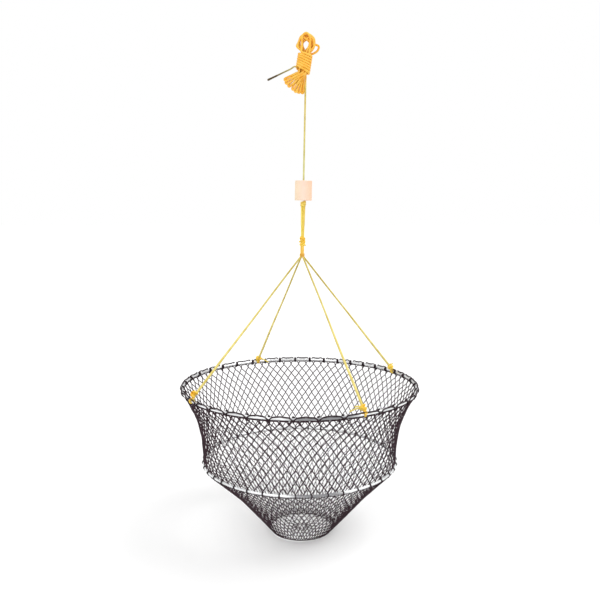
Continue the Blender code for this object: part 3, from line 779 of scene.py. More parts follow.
HEAVY_RADIUS = 0.0020
SELVEDGE_RADIUS = 0.0012
UPPER_BLOB = 0.0034
UPPER_BLOB_DEGREES = -84
UPPER_BLOB_DROP = 0.0014
SELVEDGE_DEGREES = -96
SELVEDGE_GAP = 0.0004
SELVEDGE_STEP = 0.004
LASHING_LENGTHS = (0.85, 1.12)
ARCH_RISES = (0.8, 1.15)
ARCH_WANDER = 4
BACK_RISE_SHARE = 0.12
FRONT_LEAN_SHARE = 0.46
ARCH_LEAN_SHARE = 0.34
# One side of a lashing: metres along the hoop from its knot, degrees round the rod, and rise off it
HEAVY_ARM = (
    (0.0140, 88, 0.0018), (0.0102, 70, 0.0008), (0.0076, 40, 0.0001), (0.0050, 4, 0.0),
    (0.0027, -35, 0.0002), (0.0011, -66, 0.0008), (0.0012, -100, 0.0010), (0.0019, -140, 0.0002),
    (0.0021, -185, 0.0), (0.0020, -230, 0.0), (0.0013, -262, 0.0003),
)
HEAVY_TURN = (0.0, -276, 0.0006)
# The arch between two lashings: share of the way, degrees round the rod, and rise off it
HEAVY_ARCH = ((0.36, 87, 0.0010), (0.5, 92, 0.0016), (0.64, 87, 0.0010))


def upper_lacing():
    """The heavy cord along the upper rod, and the selvedge cord under it that carries the net's top.

    At every lashing the heavy cord comes down outside the rod to a knot under it, passes up and back inside
    the rod, and goes up outside again. Between lashings it lies close on top of the rod at the back, and in
    front it arches over the rod's outer upper face.
    """
    rng = np.random.default_rng(3)
    hug = ROD_RADIUS + HEAVY_RADIUS + SEAT_GAP
    shape = [(-along, degrees, rise) for along, degrees, rise in HEAVY_ARM]
    shape += [HEAVY_TURN, *reversed(HEAVY_ARM)]
    angles = np.radians(UPPER_LASHING_DEGREES)
    points = []
    blobs = []
    for centre, after in zip(angles, [*angles[1:], angles[0] + TAU]):
        stretch = rng.uniform(*LASHING_LENGTHS)
        for along, degrees, rise in shape:
            angle = centre + along * stretch / UPPER_RADIUS
            lean = 1 - FRONT_LEAN_SHARE * towards_front(angle) * (degrees > 0)
            points.append(around_rod(UPPER_RING, angle, degrees * lean, hug + rise * lean))
        for share, degrees, rise in HEAVY_ARCH:
            angle = centre + (after - centre) * share
            front = towards_front(angle)
            leaned = degrees * (1 - ARCH_LEAN_SHARE * front) + rng.normal(0, ARCH_WANDER)
            arched = BACK_RISE_SHARE + (1 - BACK_RISE_SHARE) * front
            reach = hug + rise * arched * rng.uniform(*ARCH_RISES)
            points.append(around_rod(UPPER_RING, angle, leaned, reach))
        blobs.append(around_rod(UPPER_RING, centre, UPPER_BLOB_DEGREES, hug + UPPER_BLOB_DROP))
    skin = Skin()
    closed_cord(skin, smooth_curve(points, HEAVY_RADIUS / 2, closed=True), HEAVY_RADIUS, 8)
    steps = NET_COLUMNS * 3
    reach = ROD_RADIUS + SELVEDGE_RADIUS + SELVEDGE_GAP + rng.uniform(0, SELVEDGE_GAP, steps)
    edge = around_rod(UPPER_RING, full_turn(steps), SELVEDGE_DEGREES, reach)
    closed_cord(skin, smooth_curve(edge, SELVEDGE_STEP, closed=True), SELVEDGE_RADIUS, 6)
    add_knots(skin, np.array(blobs), HOOP_CENTRE, UPPER_BLOB, rng)
    return skin.piece("upper_lacing_cord", LACING)


def lower_lashing_angles():
    """The lashings counted along the front of the lower hoop, and the rest spread evenly behind."""
    first, last = FRONT_LASHING_DEGREES[0], FRONT_LASHING_DEGREES[-1]
    behind = LOWER_LASHING_COUNT - len(FRONT_LASHING_DEGREES)
    pitch = (first + 360 - last) / (behind + 1)
    rest = [last + pitch * (number + 1) for number in range(behind)]
    return np.radians([*FRONT_LASHING_DEGREES, *rest])


THIN_RADIUS = 0.0011
LOWER_BLOB = 0.0024
LOWER_BLOB_DROPS = (0.001, 0.002)
LASHING_TURNS = 2
LASHING_STEPS = 12
LASHING_PITCH_SHARE = 1.05
# The slack run between two lashings: share of the way, and how far it sags off the rod
THIN_SAGS = ((0.25, 0.0008), (0.5, 0.0014), (0.75, 0.0009))


def lower_lacing():
    """The thin cord of the lower hoop, which carries the bag's top meshes.

    It takes two tight turns at every lashing, and runs slack under the rod between them.
    """
    rng = np.random.default_rng(5)
    hug = ROD_RADIUS + THIN_RADIUS + SEAT_GAP
    points = []
    blobs = []
    steps = LASHING_TURNS * LASHING_STEPS
    half = LASHING_TURNS * THIN_RADIUS * LASHING_PITCH_SHARE / LOWER_RADIUS
    angles = lower_lashing_angles()
    for middle, after in zip(angles, [*angles[1:], angles[0] + TAU]):
        for step in range(steps + 1):
            share = step / steps
            angle = middle + half * (2 * share - 1)
            points.append(around_rod(LOWER_RING, angle, -90 - 360 * LASHING_TURNS * share, hug))
        for share, sag in THIN_SAGS:
            angle = middle + half + (after - middle - 2 * half) * share
            points.append(around_rod(LOWER_RING, angle, -90, hug + sag))
        blobs.append(around_rod(LOWER_RING, middle, -90, hug + rng.uniform(*LOWER_BLOB_DROPS)))
    skin = Skin()
    closed_cord(skin, smooth_curve(points, THIN_RADIUS, closed=True), THIN_RADIUS, 6)
    add_knots(skin, np.array(blobs), LOWER_CENTRE, LOWER_BLOB, rng)
    return skin.piece("lower_lacing_cord", LACING)


# Nets


TOP_TWINE_SHARE = 1.2
SIDE_TWINE_SHARE = 0.91
FACE_TWINE_SHARE = 1.16
TWINE_SIDES = 5
TWINE_SAG_SHARE = 0.025
MESH_SIDE_SHARES = (0.0, 0.2, 0.5, 0.8)
TOP_STRAND_SHARES = (0.3, 0.75)


def knotted_net(levels, seed, centre, twine, arches=None):
    """The skin of a knotted diamond net, from a table of knot places by level and column.

    Each level's twine is one closed zigzag between two levels of knots. Arches, where given, are the left,
    middle and right points that the top meshes hang from: two strands rise to them from each knot.
    """
    rng = np.random.default_rng(seed)
    radius, knot, slack = twine
    share = np.array(MESH_SIDE_SHARES)[:, None]
    skin = Skin()
    for row, (above, below) in enumerate(zip(levels, levels[1:])):
        arched = row == 0 and arches is not None
        if arched:
            left, middle, right = arches
            near, far = TOP_STRAND_SHARES
            after = np.roll(below, -1, 0)
            rising = [below, below + (left - below) * near, below + (left - below) * far]
            falling = [after + (right - after) * far, after + (right - after) * near]
            path = np.stack([*rising, left, middle, right, *falling], axis=1)
        else:
            starts = np.stack([above, np.roll(below, -(row % 2), 0)], axis=1).reshape(-1, 1, 3)
            run = np.roll(starts, -1, 0) - starts
            bows = rng.normal(0, slack, run.shape)
            lift = np.sin(TAU * share) * TWINE_SAG_SHARE * run[:, :, 2:]
            path = starts + run * share + bows * np.sin(math.pi * share) + lift * UP
        path = path.reshape(-1, 3)
        out = away_from_axis(path, centre)
        reach = radius * (SIDE_TWINE_SHARE + (FACE_TWINE_SHARE - SIDE_TWINE_SHARE) * out[:, 1] ** 2)
        if arched:
            reach *= 1 + (TOP_TWINE_SHARE - 1) * towards_front(np.arctan2(out[:, 1], out[:, 0]))
        skin.tube(path, out, reach[:, None], TWINE_SIDES, closed=True)
    first = 0 if arches is None else 1
    add_knots(skin, levels[first:-1].reshape(-1, 3), centre, knot, rng)
    if arches is not None:
        # A second, larger wrap on each top knot in front
        front = levels[1][levels[1][:, 1] < 0]
        add_knots(skin, front, centre, knot * TOP_TWINE_SHARE, rng)
    return skin


# The rings of a mesh knot: place along it and radius, in knot sizes
KNOT_RINGS = np.array((
    (-1.35, 0.35), (-1.05, 0.86), (-0.5, 1.0), (-0.08, 0.80), (0.35, 1.0), (0.95, 0.9), (1.3, 0.35),
))
KNOT_SIDES = 6
KNOT_TIP = 0.35
KNOT_FLATNESS = 0.22
KNOT_LENGTH_SHARE = 0.95
KNOT_WIDTH_SHARE = 0.92
KNOT_RISE = 0.0002
KNOT_SCALES = (0.88, 1.12)


def add_knots(skin, places, centre, size, rng):
    """A mesh knot at each place: a stubby double wrap across the strands, tipped a little."""
    flat = KNOT_WIDTH_SHARE * (1 - KNOT_FLATNESS * np.abs(np.cos(full_turn(KNOT_SIDES))))
    for place in places:
        out = away_from_axis(place, centre)
        tip = rng.normal(0, KNOT_TIP)
        axis = UP * math.cos(tip) + np.cross(UP, out) * math.sin(tip)
        scale = size * rng.uniform(*KNOT_SCALES)
        path = place + out * KNOT_RISE + axis * (KNOT_RINGS[:, :1] * scale * KNOT_LENGTH_SHARE)
        skin.tube(path, out, KNOT_RINGS[:, 1:] * scale * flat, KNOT_SIDES)


def lashed_angles(column):
    """Column places that follow the lower lashings: one column at each lashing and one between."""
    angles = lower_lashing_angles()
    ends = np.append(angles, angles[0] + TAU)
    table = np.sort(np.concatenate([ends, (ends[1:] + ends[:-1]) / 2]))
    return np.interp(column, np.arange(len(table)), table)


LEVEL_SPREAD_SHARE = 0.8
EDGE_SPREAD_SHARE = 0.25


def level_of_knots(row, columns, radius, height, centre, rng, spread, place):
    angle = place(np.arange(columns) + 0.5 * (row % 2)) + rng.normal(0, spread / radius, columns)
    reach = radius + rng.normal(0, spread * LEVEL_SPREAD_SHARE, columns)
    rise = height + rng.normal(0, spread * LEVEL_SPREAD_SHARE, columns)
    return centre + round_axis(reach, angle, rise)


PROFILE_POINTS = 401
SIDE_TRIALS = 40


def row_shares(radius_at, drop, rows, columns, first=1.0):
    """How far down each row of knots sits, in shares, when every mesh of a net has sides of one length.

    The first row may be a share of the others.
    """
    steps = np.maximum(np.arange(rows + 1) - 1 + first, 0)
    share = np.linspace(0, 1, PROFILE_POINTS)
    radius = radius_at(share)
    run = np.hypot(np.diff(radius), np.diff(share) * drop)
    half = math.pi * (radius[1:] + radius[:-1]) / 2 / columns
    low, high = half.max(), 4 * half.max()
    for _ in range(SIDE_TRIALS):
        side = (low + high) / 2
        passed = np.concatenate([[0], np.cumsum(run / np.sqrt(side**2 - half**2 + 1e-9))])
        low, high = (side, high) if passed[-1] > steps[-1] else (low, side)
    return np.interp(steps * passed[-1] / steps[-1], passed, share)


def hung_levels(seed, radius_at, rows, centre, top, drop, jitter, first=1.0):
    """The knots of a net that hangs between two rings, by level, and each level's share of the drop."""
    rng = np.random.default_rng(seed)
    shares = row_shares(radius_at, drop, rows, NET_COLUMNS, first)
    levels = []
    for row, share in enumerate(shares):
        spread = jitter * (EDGE_SPREAD_SHARE if row in (0, rows) else 1)
        place = (row, NET_COLUMNS, radius_at(share), top - share * drop)
        levels.append(level_of_knots(*place, centre, rng, spread, lashed_angles))
    return np.array(levels), shares


NET_TOP = -(ROD_RADIUS + 2 * SELVEDGE_RADIUS + 0.0006)
WALL_FOOT = ROD_RADIUS + 0.0012
WALL_JITTER = 0.0005
TOP_ROW_SHARE = 0.7
TOP_PINCH = 0.13
TOP_DEGREES = -94
# The arch of each top mesh under the rod: columns past its knot, and how far it sags
TOP_ARCH = ((0.5 + TOP_PINCH, 0.0006), (1.0, 0.0), (1.5 - TOP_PINCH, 0.0006))


def wall_radius(share):
    return LOWER_RADIUS + (UPPER_RADIUS - LOWER_RADIUS) * (1 - share) ** WALL_FLARE


def wall_net():
    """The side net between the hoops. It draws in under the upper hoop and then falls nearly straight."""
    drop = HOOP_SPACING + NET_TOP - WALL_FOOT
    size = (HOOP_CENTRE, NET_TOP, drop, WALL_JITTER, TOP_ROW_SHARE)
    levels, _ = hung_levels(11, wall_radius, WALL_ROWS, *size)
    columns = np.arange(NET_COLUMNS)
    arches = [
        around_rod(UPPER_RING, lashed_angles((columns + shift) % NET_COLUMNS), TOP_DEGREES, sag - NET_TOP)
        for shift, sag in TOP_ARCH
    ]
    return knotted_net(levels, 12, HOOP_CENTRE, WALL_TWINE, arches).piece("wall_mesh", NET_TWINE)


BAG_TOP = -(ROD_RADIUS + 2 * THIN_RADIUS + 0.0012)
BAG_SHARES = (0, 0.2, 0.4, 0.6, 0.8, 0.92, 1)
BAG_RADII = (0.3175, 0.2697, 0.2222, 0.1823, 0.1423, 0.1186, 0.1020)
BAG_JITTER = 0.0002
BAG_SHIFT = np.array((0.004, 0, 0))
FLOOR_SHIFT = np.array((0.006, 0, 0))


def bag_radius(share):
    return np.interp(share, BAG_SHARES, BAG_RADII)


def bag_net():
    """The bag's mesh. Its sides are a little hollow, and it hangs slightly towards one side."""
    drop = BAG_DEPTH + BAG_TOP
    levels, shares = hung_levels(21, bag_radius, BAG_ROWS, LOWER_CENTRE, BAG_TOP, drop, BAG_JITTER)
    shares = shares[:, None, None]
    levels = levels + BAG_SHIFT * np.sin(math.pi * shares) + FLOOR_SHIFT * shares
    return knotted_net(levels, 22, LOWER_CENTRE, BAG_TWINE).piece("bag_mesh", NET_TWINE)


FLOOR_COLUMNS = 14
FLOOR_ROWS = 3
FLOOR_EYE = 0.014
FLOOR_EYE_STEPS = 36
FLOOR_MARGIN = 0.002
FLOOR_RISE = 0.0003
FLOOR_JITTER = 0.0003


def even_angles(column):
    return TAU * column / FLOOR_COLUMNS


def floor_net():
    """The bag's flat floor: a small net with an eye in its middle."""
    rng = np.random.default_rng(31)
    middle = FLOOR_CENTRE + FLOOR_SHIFT
    outer = FLOOR_RADIUS - FLOOR_MARGIN
    levels = []
    for row in range(FLOOR_ROWS + 1):
        place = (row, FLOOR_COLUMNS, outer + (FLOOR_EYE - outer) * row / FLOOR_ROWS, FLOOR_RISE)
        levels.append(level_of_knots(*place, middle, rng, FLOOR_JITTER, even_angles))
    skin = knotted_net(np.array(levels), 32, FLOOR_CENTRE, FLOOR_TWINE)
    closed_cord(skin, middle + round_axis(FLOOR_EYE, full_turn(FLOOR_EYE_STEPS), 0.0), FLOOR_TWINE[0], 6)
    return skin.piece("floor_mesh", NET_TWINE)


DRAW_CORD_STEPS = 72
DRAW_CORD_SHARE = 0.75
DRAW_CORD_SPACING = 0.002
DRAW_CORD_WANDER = (0.0004, 0.0002)


def bag_cord():
    """The draw cord round the bag's floor: one heavy cord through the last meshes."""
    rng = np.random.default_rng(41)
    points = []
    for angle in full_turn(DRAW_CORD_STEPS):
        aside, up = rng.normal(0, DRAW_CORD_WANDER)
        points.append(FLOOR_CENTRE + FLOOR_SHIFT + round_axis(FLOOR_RADIUS + aside, angle, up))
    skin = Skin()
    path = smooth_curve(points, DRAW_CORD_SPACING, closed=True)
    closed_cord(skin, path, FLOOR_CORD_RADIUS * DRAW_CORD_SHARE, 8)
    return skin.piece("bag_draw_cord", LACING)


# Bridle and knots


def bundle_slot(leg):
    """Where a leg's strand stands in the bundle of four, beside the line's axis."""
    angle = TIE_ANGLES[0] + leg * TAU / LEG_COUNT
    return BUNDLE_RADIUS * np.array((math.cos(angle), math.sin(angle)))


def lean_point(x, y, height):
    return HOOP_CENTRE + np.array((x + math.tan(LINE_LEAN) * height, y, height))


LEG_FOOT_RISE = 0.005
LEG_LAID_UP = 0.17
LEG_KNOT_LENGTH = 0.010
LEG_BOW = 0.0007
LEG_BOW_STEPS = 8


def leg_line(leg):
    """The point on the hoop where a leg is tied, the way up it, and where it meets the others."""
    top = lean_point(*bundle_slot(leg), LEG_SPLIT)
    rim = HOOP_CENTRE + round_axis(UPPER_RADIUS, TIE_ANGLES[leg], LEG_FOOT_RISE)
    return rim, unit(top - rim), top


def leg_rope(leg):
    """One leg. Its end is laid back up beside it, so its lower part is thicker."""
    rim, way, split = leg_line(leg)
    foot = rim + way * LEG_KNOT_LENGTH
    heights = (KNOT_BOTTOM + 0.008, KNOT_BOTTOM - 0.006, LEG_SPLIT + 0.010)
    points = [lean_point(*bundle_slot(leg), height) for height in heights]
    points += [split - way * 0.003, split - way * 0.016]
    start = points[-1]
    side = unit(np.cross(way, UP))
    for step in range(1, LEG_BOW_STEPS):
        share = step / LEG_BOW_STEPS
        bow = LEG_BOW * math.sin(TAU * share * 1.5 + leg * 1.7)
        points.append(start + (foot - start) * share + side * bow)
    points.append(foot)
    path = smooth_curve(points, ROPE_STEP)
    total = metres_along(path)[-1]
    stations = (total - LEG_LAID_UP * 2, total - LEG_LAID_UP / 2)
    radii = (LEG_ROPE_RADIUS, LEG_FOOT_RADIUS)
    return rope(f"leg_rope_{leg + 1}", path, lambda along: np.interp(along, stations, radii), LEG_ROPE)


# How far a knot's turns press into the ropes under them
KNOT_BITE = 0.0006
WINDING_STEPS = 14
WINDING_PITCH_SHARE = 2.1
INNER_TURNS_LEAST = 1.5
CROSSING_LIFT = 1.5
CROSSING_SPAN_SHARE = 0.82
CROSSING_END_DROP = 0.30


def winding(length, core, radius, phase, outer_turns=3.0, waves=1.5):
    """A knot wound on a core: turns side by side under turns that cross over them.

    Returns its points about the core's axis, each with two sideways places and one along the core.
    """
    half = length / 2 - radius
    inner_turns = max(INNER_TURNS_LEAST, half * 2 / (WINDING_PITCH_SHARE * radius))
    count = round(inner_turns * WINDING_STEPS)
    step = np.arange(count)
    inner = round_axis(core + radius, phase + TAU * step / WINDING_STEPS, half * (1 - 2 * step / count))
    last = phase + TAU * count / WINDING_STEPS
    share = np.linspace(0, 1, round(outer_turns * WINDING_STEPS) + 1)
    height = -half * np.cos(TAU * waves * share) * CROSSING_SPAN_SHARE
    lift = np.minimum(1, np.minimum(share * 6, (1 - share) * 8))
    lift = lift * (1 - CROSSING_END_DROP * (height / half) ** 2)
    outer = round_axis(core + radius * (1 + CROSSING_LIFT * lift), last + TAU * outer_turns * share, height)
    return np.concatenate([inner, outer])


TIE_FORMS = (
    # how far up the leg the knot sits, its length, its phase, its shift to one side, and its tails' ends
    (0.017, 0.018, 0.4, (0.0, 0.0, 0.0), ((0.0100, -0.004, 0.0130), (0.0020, -0.006, -0.0110))),
    (0.010, 0.015, 1.9, (0.0, 0.0, 0.001), ((0.0380, -0.004, -0.0150), (0.0210, -0.004, -0.0060))),
    (0.016, 0.024, 2.6, (-0.003, 0.0, 0.003), ()),
    (0.016, 0.020, 0.9, (0.0, 0.0, 0.0), ((-0.0250, -0.006, 0.0030), (-0.0390, -0.006, -0.0110))),
)
# How many turns each tie takes round the hoop
TIE_TURNS = (2.4, 2.4, 1.3, 1.3)
TIE_STEPS = 26
TIE_PITCH = 2 * KNOT_ROPE_RADIUS * 1.03
TIE_ROPE_SHARE = 0.9
TAIL_ROPE_SHARE = 0.92
TAIL_BEND = np.array((0, 0, 0.0025))


def rim_knot(leg):
    """Round turns on the hoop, hitches wound on the leg above them, and short tails of the rope's end."""
    rim, way, _ = leg_line(leg)
    rise, length, phase, shift, tails = TIE_FORMS[leg]
    turns = TIE_TURNS[leg]
    out = round_axis(1.0, TIE_ANGLES[leg], 0.0)
    along = round_axis(1.0, TIE_ANGLES[leg] + math.pi / 2, 0.0)
    skin = Skin()
    ring = ROD_RADIUS + KNOT_ROPE_RADIUS * TIE_ROPE_SHARE + SEAT_GAP
    middle = rim + UP * (0.0005 - LEG_FOOT_RISE)
    start = math.atan2(way[2], way @ out)
    points = [rim + way * height for height in (rise - 0.003, rise - 0.006, ring - 0.002)]
    for step in range(2, TIE_STEPS + 1):
        share = step / TIE_STEPS
        turn = start - TAU * turns * share
        side = along * TIE_PITCH * turns * (share - 0.5)
        points.append(middle + side + ring * (out * math.cos(turn) + UP * math.sin(turn)))
    points.append(rim + way * (rise - length * 0.4) + along * TIE_PITCH * 0.8)
    points.append(rim + way * (rise - length * 0.1))
    add_rope(skin, smooth_curve(points, ROPE_STEP), KNOT_ROPE_RADIUS * TIE_ROPE_SHARE)
    centre = rim + way * rise + np.array(shift)
    frame_of_leg = np.stack([along, unit(np.cross(way, along)), way])
    wound = centre + winding(length, LEG_ROPE_RADIUS - KNOT_BITE, KNOT_ROPE_RADIUS, phase) @ frame_of_leg
    add_rope(skin, smooth_curve(wound, ROPE_STEP), KNOT_ROPE_RADIUS)
    knot = skin.piece(f"rim_knot_{leg + 1}", KNOT_ROPE)
    if not tails:
        return [knot]
    ends = Skin()
    for end in tails:
        end = np.array(end)
        route = [centre + unit(end) * 0.003, centre + end * 0.5 + TAIL_BEND]
        route += [centre + end * 0.82 + TAIL_BEND * 0.5, centre + end]
        add_rope(ends, smooth_curve(route, ROPE_STEP), KNOT_ROPE_RADIUS * TAIL_ROPE_SHARE)
    return [knot, ends.piece(f"rim_tail_{leg + 1}", TAIL_ROPE)]


HITCH_RADIUS = 0.0068
HITCH_TURNS = 3.0
HITCH_STEPS = 14
HITCH_END_SHARE = 0.92
HITCH_BULGE_SHARE = 0.14
HITCH_WAVE = 0.0011
RIDING_STEPS = 12
RIDING_DEGREES = (-160, -20)
RIDING_SHARE = 1.16
RIDING_RISE = 0.0009
RIDING_ROPE_SHARE = 0.95


def hitch_knot():
    """The sheet bend of the haul line on the bridle's loops: three bulging turns and one riding over."""
    bottom = HITCH_BOTTOM + KNOT_ROPE_RADIUS
    top = FLOAT_BOTTOM - KNOT_ROPE_RADIUS - SEAT_GAP
    share = np.linspace(0, 1, round(HITCH_TURNS * HITCH_STEPS) + 1)
    turn = -TAU * HITCH_TURNS * share
    reach = HITCH_RADIUS * (HITCH_END_SHARE + HITCH_BULGE_SHARE * np.sin(math.pi * share))
    height = top + (bottom - top) * share + HITCH_WAVE * np.sin(turn + 0.6)
    points = [(0, 0, top - 0.001), (0.003, -0.002, top - 0.0005), *round_axis(reach, turn, height)]
    skin = Skin()
    add_rope(skin, on_line(smooth_curve(points, ROPE_STEP)), KNOT_ROPE_RADIUS)
    share = np.linspace(0, 1, RIDING_STEPS + 1)
    turn = np.radians(np.linspace(*RIDING_DEGREES, RIDING_STEPS + 1))
    reach = HITCH_RADIUS * RIDING_SHARE + RIDING_RISE * np.sin(math.pi * share)
    over = round_axis(reach, turn, bottom + 0.001 + (top - bottom - 0.002) * share)
    add_rope(skin, on_line(smooth_curve(over, ROPE_STEP)), KNOT_ROPE_RADIUS * RIDING_ROPE_SHARE)
    return skin.piece("becket_hitch", HITCH_ROPE)


# The gather knot's two short ends, from the knot's middle
GATHER_ENDS = (
    ((-0.004, -0.006, 0.002), (-0.0080, -0.004, -0.001), (-0.0108, -0.002, -0.0035)),
    ((0.004, -0.006, -0.010), (0.0086, -0.003, -0.012), (0.0100, -0.001, -0.0155)),
)


def gather_rope():
    """The knot where the legs come together: turns that cross over each other, and two short ends."""
    middle = UP * (KNOT_TOP + KNOT_BOTTOM) / 2
    length = KNOT_TOP - KNOT_BOTTOM
    skin = Skin()
    wound = winding(length, BUNDLE_RADIUS - KNOT_BITE, GATHER_ROPE_RADIUS, 0.8, outer_turns=4.5, waves=2.5)
    add_rope(skin, on_line(smooth_curve(middle + wound, ROPE_STEP)), GATHER_ROPE_RADIUS)
    for end in GATHER_ENDS:
        add_rope(skin, on_line(smooth_curve(middle + np.array(end), ROPE_STEP)), KNOT_ROPE_RADIUS)
    return skin.piece("gather_knot_rope", KNOT_ROPE)


# Shares of the way up a pennant loop, and how far its strands stand from its middle there
PENNANT_SHARES = (0, 0.18, 0.35, 0.6, 0.85, 1)
PENNANT_REACHES = (0.0030, 0.0028, 0.0030, 0.0036, 0.0042, 0.0043)


def pennant(number):
    """One top loop of the bridle rope: two strands that part as they rise, and turn over in the hitch."""
    foot = (KNOT_TOP + KNOT_BOTTOM) / 2
    shoulder = HITCH_BOTTOM + ROPE_RADIUS
    strands = []
    for leg in (2 * number - 2, 2 * number - 1):
        slot = np.array((*unit(bundle_slot(leg)), 0))
        strands.append([slot * reach + UP * (foot + (shoulder - foot) * share)
                        for share, reach in zip(PENNANT_SHARES, PENNANT_REACHES)])
    rising, falling = strands[0], strands[1][::-1]
    middle = (rising[-1] + falling[0]) / 2
    crest = [middle + (rising[-1] - middle) * math.cos(turn) + UP * ROPE_RADIUS * math.sin(turn)
             for turn in (math.pi / 4, math.pi / 2, 3 * math.pi / 4)]
    path = smooth_curve([*rising, *crest, *falling], ROPE_STEP)
    return rope(f"pennant_{number}", on_line(path), PENNANT_RADIUS, PENNANT_ROPES[number - 1])


SEIZING_TURNS = 4
SEIZING_STEPS = 16
SEIZING_PITCH = 0.0023
SEIZING_RADIUS = 0.0012
SEIZING_GAP = 0.0004


def seizing():
    """The twine that binds the legs under the gather knot."""
    turns = np.arange(SEIZING_TURNS * SEIZING_STEPS + 1) / SEIZING_STEPS
    radius = BUNDLE_RADIUS + LEG_ROPE_RADIUS + SEIZING_GAP
    points = round_axis(radius, TAU * turns, LEG_SPLIT - 0.0010 + SEIZING_PITCH * turns)
    skin = Skin()
    path = on_line(smooth_curve(points, 0.001))
    skin.tube(path, carried_sides(path), SEIZING_RADIUS, 8)
    return skin.piece("leg_whipping", SEIZING)


# Float


FLOAT_EASE = 0.0016
FLOAT_EASE_STEPS = 5
FLOAT_WALL_STEPS = 18
FLOAT_SIDES = 72
# The skin's broad and fine swells: how many to the metre, and how high they stand
FOAM_SWELLS = ((90, 0.00018), (420, 0.00010))


def foam_rise(point):
    return sum(noise.noise(Vector(point) * scale) * height for scale, height in FOAM_SWELLS)


def float_body():
    """A turned foam cylinder with eased edges, a bore, and a slightly uneven skin."""
    bottom, top = FLOAT_BOTTOM, FLOAT_BOTTOM + FLOAT_LENGTH
    # One end, from the bore outwards: each ring's radius and its depth under the end face
    end = [(FLOAT_BORE, 0.004), (FLOAT_BORE + 0.0006, 0.0008), (FLOAT_BORE + 0.0016, 0)]
    end += [(FLOAT_RADIUS * share, 0) for share in (0.35, 0.6, 0.85)]
    for turn in np.linspace(0, math.pi / 2, FLOAT_EASE_STEPS):
        end.append((FLOAT_RADIUS + FLOAT_EASE * (math.sin(turn) - 1), FLOAT_EASE * (1 - math.cos(turn))))
    profile = [(reach, top - depth) for reach, depth in end]
    wall = np.linspace(0.08, 0.92, FLOAT_WALL_STEPS)
    profile += [(FLOAT_RADIUS, top - FLOAT_LENGTH * share) for share in wall]
    profile += [(reach, bottom + depth) for reach, depth in reversed(end)]
    turns = full_turn(FLOAT_SIDES)
    points = np.concatenate([round_axis(reach, turns, height) for reach, height in profile])
    uneven = np.array([foam_rise(point) for point in points])
    points = points + away_from_axis(points, 0) * uneven[:, None]
    skin = Skin()
    quads = skin.ring_faces(len(profile), FLOAT_SIDES, True)
    skin.points.append(on_line(points))
    skin.faces.extend(quads[:, ::-1].tolist())
    skin.places.append(np.zeros((len(quads) * 4, 2)))
    return skin.piece("float_body", FOAM)


# Build every piece, and attach most of them to their bodies

haul, haul_path = haul_rope()
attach(haul, "line")
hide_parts("haul_line", "hank")
end_bead = line_end(haul_path)
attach(end_bead, "line")
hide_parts("line_tip")

foam = float_body()
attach(foam, "float")
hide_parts("line_float")

hitch = hitch_knot()
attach(hitch, "hitch")
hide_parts("line_hitch")

for number in (1, 2):
    strand = pennant(number)
    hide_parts(f"pennant_loop_{number}")
    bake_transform(strand)

gather = gather_rope()
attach(gather, "bridle")
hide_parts("gather_knot")
whipping = seizing()
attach(whipping, "bridle")
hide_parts("leg_seizing")

for leg in range(LEG_COUNT):
    line = leg_rope(leg)
    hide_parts(f"bridle_leg_{leg + 1}")
    rim, way, split = leg_line(leg)
    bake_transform(line)
    knots = rim_knot(leg)
    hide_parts(f"rim_tie_{leg + 1}")
    for knot in knots:
        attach(knot, "upper_ring")

upper_rod = rod_ring("upper_rod", UPPER_RADIUS, HOOP_CENTRE, math.radians(140))
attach(upper_rod, "upper_ring")
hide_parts("upper_hoop")
heavy = upper_lacing()
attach(heavy, "upper_ring")
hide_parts("upper_lacing")
wall = wall_net()
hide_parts("side_net")
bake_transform(wall)

lower_rod = rod_ring("lower_rod", LOWER_RADIUS, LOWER_CENTRE, math.radians(65))
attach(lower_rod, "lower_ring")
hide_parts("lower_hoop")
thin = lower_lacing()
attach(thin, "lower_ring")
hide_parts("lower_lacing")
bag = bag_net()
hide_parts("bag_net")
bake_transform(bag)

draw_cord = bag_cord()
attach(draw_cord, "bag_floor")
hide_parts("floor_cord")
mesh_floor = floor_net()
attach(mesh_floor, "bag_floor")
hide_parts("floor_net")


# Stage, light and camera


FLOOR_DROP = 0.004
GROUND_REACH = 40.0
GROUND_WHITE = 0.96
GROUND_CORNERS = ((-1, -1), (1, -1), (1, 1), (-1, 1))
SKY_LEVEL = 0.58
SUNS = (
    # name, strength, apparent width and turn about X, Y and Z in degrees
    ("top_light", 1.66, 38.0, (3.0, 35.0, 0.0)),
    ("front_light", 1.00, 50.0, (52.0, 0.0, -28.0)),
)


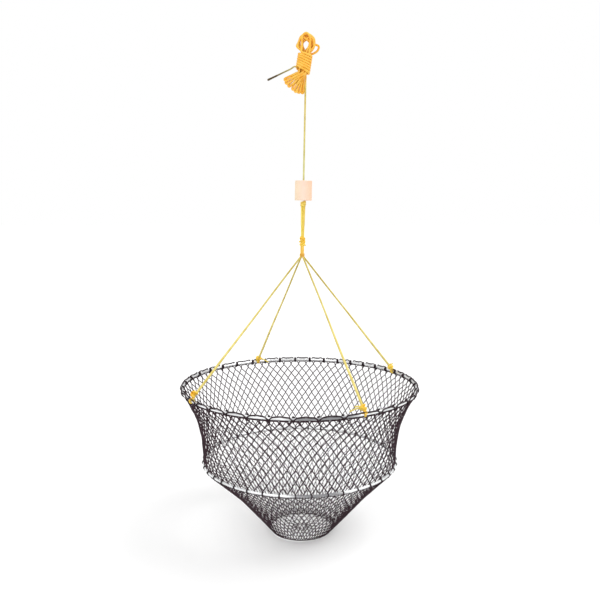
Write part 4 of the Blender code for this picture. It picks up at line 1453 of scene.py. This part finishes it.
def studio():
    """A white floor under the net, a sky that looks white but lights at a low level, and two wide suns."""
    mesh = bpy.data.meshes.new("studio_floor")
    z = FLOOR_CENTRE[2] - FLOOR_CORD_RADIUS - FLOOR_DROP
    corners = [(GROUND_REACH * x, GROUND_REACH * y, z) for x, y in GROUND_CORNERS]
    mesh.from_pydata(corners, [], [(0, 1, 2, 3)])
    ground = add_object("studio_floor", mesh)
    look = Look("studio_white", 0.9, specular=0.0)
    look.colour((GROUND_WHITE, GROUND_WHITE, GROUND_WHITE, 1))
    mesh.materials.append(look.made)

    world = bpy.data.worlds.new("studio")
    bpy.context.scene.world = world
    world.use_nodes = True
    sky = Shading(world.node_tree)
    path = sky.add("ShaderNodeLightPath", {})
    seen = sky.math("MAXIMUM", path["Is Glossy Ray"], path["Is Transmission Ray"])
    seen = sky.math("MAXIMUM", path["Is Camera Ray"], seen)
    level = sky.add("ShaderNodeMapRange", {"Value": seen, "To Min": SKY_LEVEL, "To Max": 1.0})[0]
    sky.fill(sky.nodes["Background"], {"Color": (1, 1, 1, 1), "Strength": level})

    for name, strength, spread, turn in SUNS:
        light = bpy.data.lights.new(name, "SUN")
        light.energy = strength
        light.angle = math.radians(spread)
        sun = add_object(name, light)
        sun.rotation_euler = tuple(math.radians(angle) for angle in turn)


# The camera that was fitted to the photograph
CAMERA_PLACE = (-0.0200, -2.22, -0.5242)
CAMERA_PITCH = math.radians(7.57)
FOCAL_PIXELS = 690.13
PICTURE_PIXELS = 600
SENSOR_WIDTH = 36.0


def photo_camera():
    lens = bpy.data.cameras.new("photo_camera")
    lens.sensor_width = SENSOR_WIDTH
    lens.lens = FOCAL_PIXELS * SENSOR_WIDTH / PICTURE_PIXELS
    lens.clip_end = 100
    camera = add_object("photo_camera", lens)
    camera.location = CAMERA_PLACE
    camera.rotation_euler = (math.pi / 2 - CAMERA_PITCH, 0, 0)
    bpy.context.scene.camera = camera


studio()
photo_camera()
bpy.context.scene.view_settings.view_transform = "Standard"
